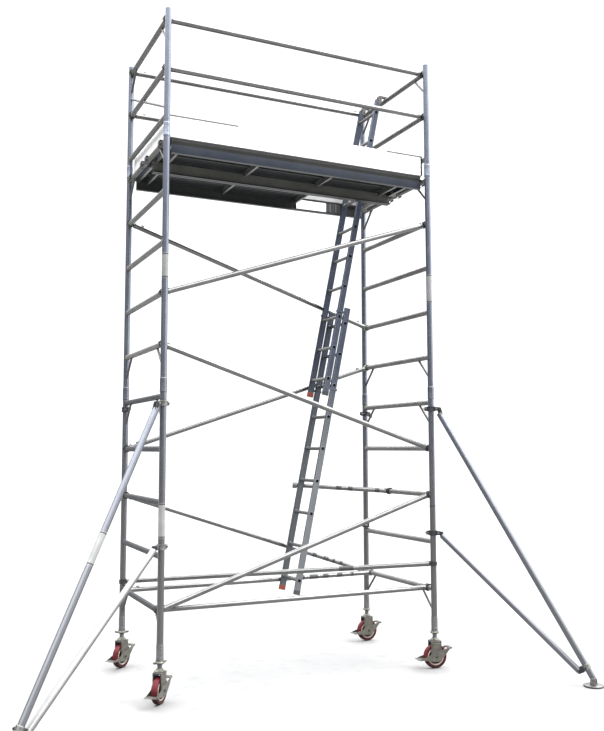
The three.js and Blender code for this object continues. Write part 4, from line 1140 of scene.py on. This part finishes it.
# ---------------------------------------------------------------- stabilisers
STABILISER_MATERIALS = ["stabiliser_alloy", "clamp_zinc", "trigger_plastic", "screw_steel", "label_vinyl",
                        "label_ink",
                        "dark_casting", "strut_alloy"]
CLAMP, BLACK, STRUT = 1, 6, 7  # the others, TUBE, PLASTIC, STEEL, VINYL and INK, stand where they do above


def along_tube(z):
    """The long tube's axis at a height, from the upright it is clamped to."""
    return V(1300 - (z - 45) / 1.727, 0, z)


def through_bolt(shape, x, z, radius, height):
    """A bolt across the tube's two lugs, with a head on each side."""
    for way in (-1, 1):
        shape.use(STEEL).bolt(V(x, way * 15, z), V(0, way, 0), radius, height)


def upright_clamp(shape, z, casting):
    """A thin two-part ring round an upright, bolted on the tube's side, closed by a wing nut on the other."""
    def shell(r0, r1, z0, z1, start, stop, mat):
        outer = arc(r1, math.radians(start), math.radians(stop), 16)
        inner = arc(r0, math.radians(stop), math.radians(start), 16)
        shape.use(mat).prism(outer + inner, z1 - z0, lift(z + z0), 0.9)

    for start, stop in ((8, 172), (188, 352)):
        shell(27.6, 33.5, -20.5, 20.5, start, stop, casting)
        shell(33, 36.7, -20.8, -12, start, stop, casting)
        shell(33, 36.7, 12, 20.8, start, stop, casting)
        shell(27.2, 28.4, -16, 16, start, stop, BLACK)
    for sy in (-1, 1):
        for x0, x1 in ((31, 62), (-58, -31)):
            shape.use(casting).box((x0, sy * 3, z - 17), (x1, sy * 10, z + 17), 2)
    shape.use(STEEL).rod(V(-46, -24, z), V(-46, 24, z), 5, 12, 1)
    shape.use(STEEL).bolt(V(-46, 10, z), Y, 9, 8)
    shape.use(STEEL).lathe([(0, 0), (10, 0), (11, 3), (10, 11), (0, 12)], V(-46, -10, z), -Y, 12)
    for side in (-1, 1):
        wing = rounded([(-46 + side * 4, -14), (-46 + side * 20, -20), (-46 + side * 21, -32), (-46 + side * 13, -33),
                        (-46 + side * 2, -21)], 3)
        shape.use(STEEL).prism(ccw(wing), 9, lift(z - 4.5), 1.8)


def lug(shape, outline, thick=5, gap=11):
    """Two parallel plates that hold a tube's end."""
    outline = ccw(rounded(outline, 5))
    for y in (-gap - thick, gap):
        shape.use(BLACK).prism(outline, thick, facing_front(0, y + thick / 2, 0, thick), 1.2)


def stabiliser(side, x, turn):
    place = turn_z(turn, x, 0)
    jaw = CLAMP if side == "left" else BLACK
    axis = (along_tube(45) - along_tube(2165)).normalized()

    tube = Shape()
    tube.use(TUBE).tube(along_tube(2160), along_tube(50), 24.8, 21.5, 36)
    tube.use(PLASTIC).lathe([(0, -4), (22, -4), (24.6, -2), (25, 0), (21, 1), (21, 18), (0, 18)], along_tube(2160),
                            axis, 28)
    tube.use(PLASTIC).lathe([(0, -18), (21, -18), (21, -1), (25, 0), (24.6, 3), (22, 4.6), (0, 5)], along_tube(50),
                            axis, 28)
    upright_clamp(tube, 2204, jaw)
    lug(tube, [(30, 2191), (62, 2191), (74, 2140), (92, 2140), (104, 2156), (84, 2217), (30, 2217)])
    for px, pz in ((88, 2152), (56, 2204)):
        through_bolt(tube, px, pz, 9, 8)
    if side == "left":
        for lo, hi, r, mat in ((0, 250, 0.4, VINYL), (6, 16, 0.7, INK), (234, 244, 0.7, INK)):
            start = along_tube(1290) + axis * lo
            tube.use(mat).ring(24.2, 24.8 + r, hi - lo, start, axis, 36)
    # Holes along the tube: a steel rim round a black disc, the disc being painted shade of the hole.
    for z in (1700, 1420, 600):
        tube.use(STEEL).ring(3.2, 6.4, 1, along_tube(z) + V(0, -24.6, 0), -Y, 14)
        tube.use(BLACK).rod(along_tube(z) + V(0, -24, 0), along_tube(z) + V(0, -25, 0), 3.4, 12, 0.2)
    piece(f"stabiliser_{side}_long_tube", tube, f"stabiliser_{side}", STABILISER_MATERIALS,
          [f"stabiliser_tube_{side}"], place)

    strut = Shape()
    start, end = V(78, 0, 1118), V(1182, 0, 110)
    way = (end - start).normalized()
    strut.use(STRUT if side == "left" else TUBE).tube(start + way * 4, end - way * 4, 24.9, 21, 36)
    strut.use(PLASTIC).lathe([(0, -3), (22, -3), (24.4, 0), (24.4, 4), (0, 5)], start + way * 4, way, 28)
    strut.use(PLASTIC).lathe([(0, -5), (24.6, -4), (24.8, 6), (22, 10), (0, 10)], end - way * 6, way, 28)
    upright_clamp(strut, 1134, jaw)
    lug(strut, [(30, 1121), (62, 1121), (80, 1086), (94, 1084), (106, 1100), (84, 1147), (30, 1147)])
    lug(strut, [(1156, 120), (1176, 88), (1190, 86), (1232, 106), (1222, 146), (1210, 150)])
    for px, pz in ((92, 1100), (56, 1134), (1176, 104)):
        through_bolt(strut, px, pz, 8, 7)
    strut.use(CLAMP).lathe([(27.6, 0), (31, 0), (32, 2), (32, 8), (30, 10), (30, 34), (32, 36), (32, 42), (31, 44),
                            (27.6, 44)],
                       along_tube(164), axis, 32, closed=True)
    strut.use(STEEL).rod(along_tube(144) + V(0, -30, 0), along_tube(144) + V(0, -52, 0), 5, 14, 1)
    strut.use(PLASTIC).lathe([(0, 0), (11, 0), (12, 2), (12, 10), (10, 12), (0, 12)], along_tube(144) + V(0, -44, 0),
                             -Y, 6)
    piece(f"stabiliser_{side}_strut", strut, f"stabiliser_{side}", STABILISER_MATERIALS,
          [f"stabiliser_strut_{side}"], place)

    foot = Shape()
    foot.use(1).lathe([(0, 9), (70, 9), (74, 10), (75, 12), (70, 14), (40, 18), (0, 21)], ZERO, Z, 48)
    foot.use(0).lathe([(0, 0), (73, 0), (76.6, 2.5), (77.4, 6), (76.6, 10), (73, 11.6), (66, 12), (0, 12)], ZERO, Z,
                      48)
    for side_y in (-1, 1):
        ear = rounded([(-24, 14), (24, 14), (22, 54), (10, 71), (-10, 71), (-22, 54)], 7)
        foot.use(1).prism(ear, 5, facing_front(0, side_y * 31, 0, 5), 1.2)
        foot.use(2).bolt(V(0, side_y * 33.5, 58), V(0, side_y, 0), 9, 6)
    foot.use(2).rod(V(0, -34, 58), V(0, 34, 58), 6.3, 18, 0.6)
    piece(f"stabiliser_{side}_foot_pad", foot, f"foot_{side}",
          ["black_rubber", "clamp_zinc", "screw_steel"],
          [f"stabiliser_foot_{side}"], place @ Matrix.Translation(V(along_tube(58).x, 0, 0)))


def build_couplers():
    for name, x, z, turn, stub in (("rear_coupler_left", 0, 2204, 92, 5),
                                   ("rear_coupler_right_upper", LENGTH, 2204, 10, 40),
                                   ("rear_coupler_right_lower", LENGTH, 1110, 40, 10)):
        local = Shape()
        upright_clamp(local, 0, BLACK)
        local.use(BLACK).lathe([(0, 0), (13, 0), (15, 2), (15, 18 + stub - 4), (13, 18 + stub), (0, 18 + stub)],
                               V(33, 0, 0),
                           V(18 + stub, 0, -stub), 26)
        local.use(STEEL).bolt(V(31 + stub * 0.6, -14, -stub * 0.4), -Y, 6, 5)
        piece(name + "_clamp", local, "tower",
              ["clamp_zinc", "clamp_zinc", "trigger_plastic", "screw_steel", "label_vinyl", "label_ink",
               "dark_casting"],
              [name], turn_z(turn, x, WIDTH, z))


# ---------------------------------------------------------------- floor, light, camera
def floor_and_light():
    half = 30  # metres
    mesh = bpy.data.meshes.new("studio_floor")
    mesh.from_pydata([(-half, -half, -0.001), (half, -half, -0.001), (half, half, -0.001), (-half, half, -0.001)], [],
                     [(0, 1, 2, 3)])
    floor = bpy.data.objects.new("studio_floor", mesh)
    bpy.context.scene.collection.objects.link(floor)
    surface("floor_pale", (0.185, 0.185, 0.185), (0.197, 0.197, 0.197), 0, (0.85, 0.95), 0.8, None, 0.0)
    mesh.materials.append(MATERIALS["floor_pale"])

    world = bpy.data.worlds.new("studio")
    bpy.context.scene.world = world
    world.use_nodes = True
    nodes, links = world.node_tree.nodes, world.node_tree.links
    background = nodes["Background"]
    where = nodes.new("ShaderNodeTexCoord")

    def glow(direction, low, high, amount):
        dot = nodes.new("ShaderNodeVectorMath")
        dot.operation = "DOT_PRODUCT"
        dot.inputs[1].default_value = Vector(direction).normalized()
        links.new(where.outputs["Generated"], dot.inputs[0])
        r = nodes.new("ShaderNodeMapRange")
        r.interpolation_type = "SMOOTHSTEP"
        r.inputs["From Min"].default_value = low
        r.inputs["From Max"].default_value = high
        r.inputs["To Min"].default_value = 0
        r.inputs["To Max"].default_value = amount
        links.new(dot.outputs["Value"], r.inputs["Value"])
        return r.outputs["Result"]

    # Light from behind on the right, from straight above and from the right, over 0.18 all round.
    parts = [glow((0.42, 0.9, 0.1), 0.45, 0.72, 0.85), glow((0, 0, 1), 0.30, 0.72, 7.0),
             glow((0.92, -0.38, 0.1), 0.6, 0.92, 2.8)]
    total = None
    for value in parts:
        m = nodes.new("ShaderNodeMath")
        m.operation = "ADD"
        links.new(value, m.inputs[0])
        m.inputs[1].default_value = 0.18
        if total is not None:
            links.new(total, m.inputs[1])
        total = m.outputs[0]
    # The camera sees a plain near-white backdrop; the glows and the sun light everything else.
    rays = nodes.new("ShaderNodeLightPath")
    seen = nodes.new("ShaderNodeMix")
    links.new(rays.outputs["Is Camera Ray"], seen.inputs["Factor"])
    links.new(total, seen.inputs["A"])
    seen.inputs["B"].default_value = 1.3
    links.new(seen.outputs["Result"], background.inputs["Strength"])
    background.inputs["Color"].default_value = (0.985, 0.99, 1.0, 1)

    sun = bpy.data.lights.new("soft_sun", "SUN")
    sun.energy = 1.7
    sun.angle = math.radians(20)
    sun.color = (1.0, 0.985, 0.955)
    lamp = bpy.data.objects.new("soft_sun", sun)
    bpy.context.scene.collection.objects.link(lamp)
    lamp.rotation_euler = Vector((0.5, -0.42, 0.78)).to_track_quat("Z", "Y").to_euler()


def camera():
    """The photograph's viewpoint, in metres and radians, fitted to points of the tower in the photograph."""
    data = bpy.data.cameras.new("photo_view")
    data.sensor_width = 36
    data.lens = 42.36
    data.clip_end = 200
    made = bpy.data.objects.new("photo_view", data)
    bpy.context.scene.collection.objects.link(made)
    yaw, pitch, roll = -0.4406, 0.0954, 0.0019
    turn = Matrix.Identity(4)
    for angle, axis in ((yaw, "Z"), (pitch, "X"), (roll, "Y"), (PI / 2, "X")):
        turn = turn @ Matrix.Rotation(angle, 4, axis)
    made.matrix_world = Matrix.Translation(ORIGIN + V(-1.8246, -6.334, 1.867)) @ turn
    bpy.context.scene.camera = made


build_materials()
build_frames()
build_braces()
build_platform()
build_ladder()
for corner_name, cx, cy, cturn, nturn in (("front_left", 0, 0, -130, 20), ("rear_left", 0, WIDTH, -140, -15),
                                          ("front_right", LENGTH, 0, 170, 35),
                                          ("rear_right", LENGTH, WIDTH, 180, 60)):
    caster(corner_name, cx, cy, cturn, nturn)
stabiliser("left", 0, -149)
stabiliser("right", LENGTH, -52)
build_couplers()
floor_and_light()
camera()
bpy.context.scene.view_settings.view_transform = "Standard"
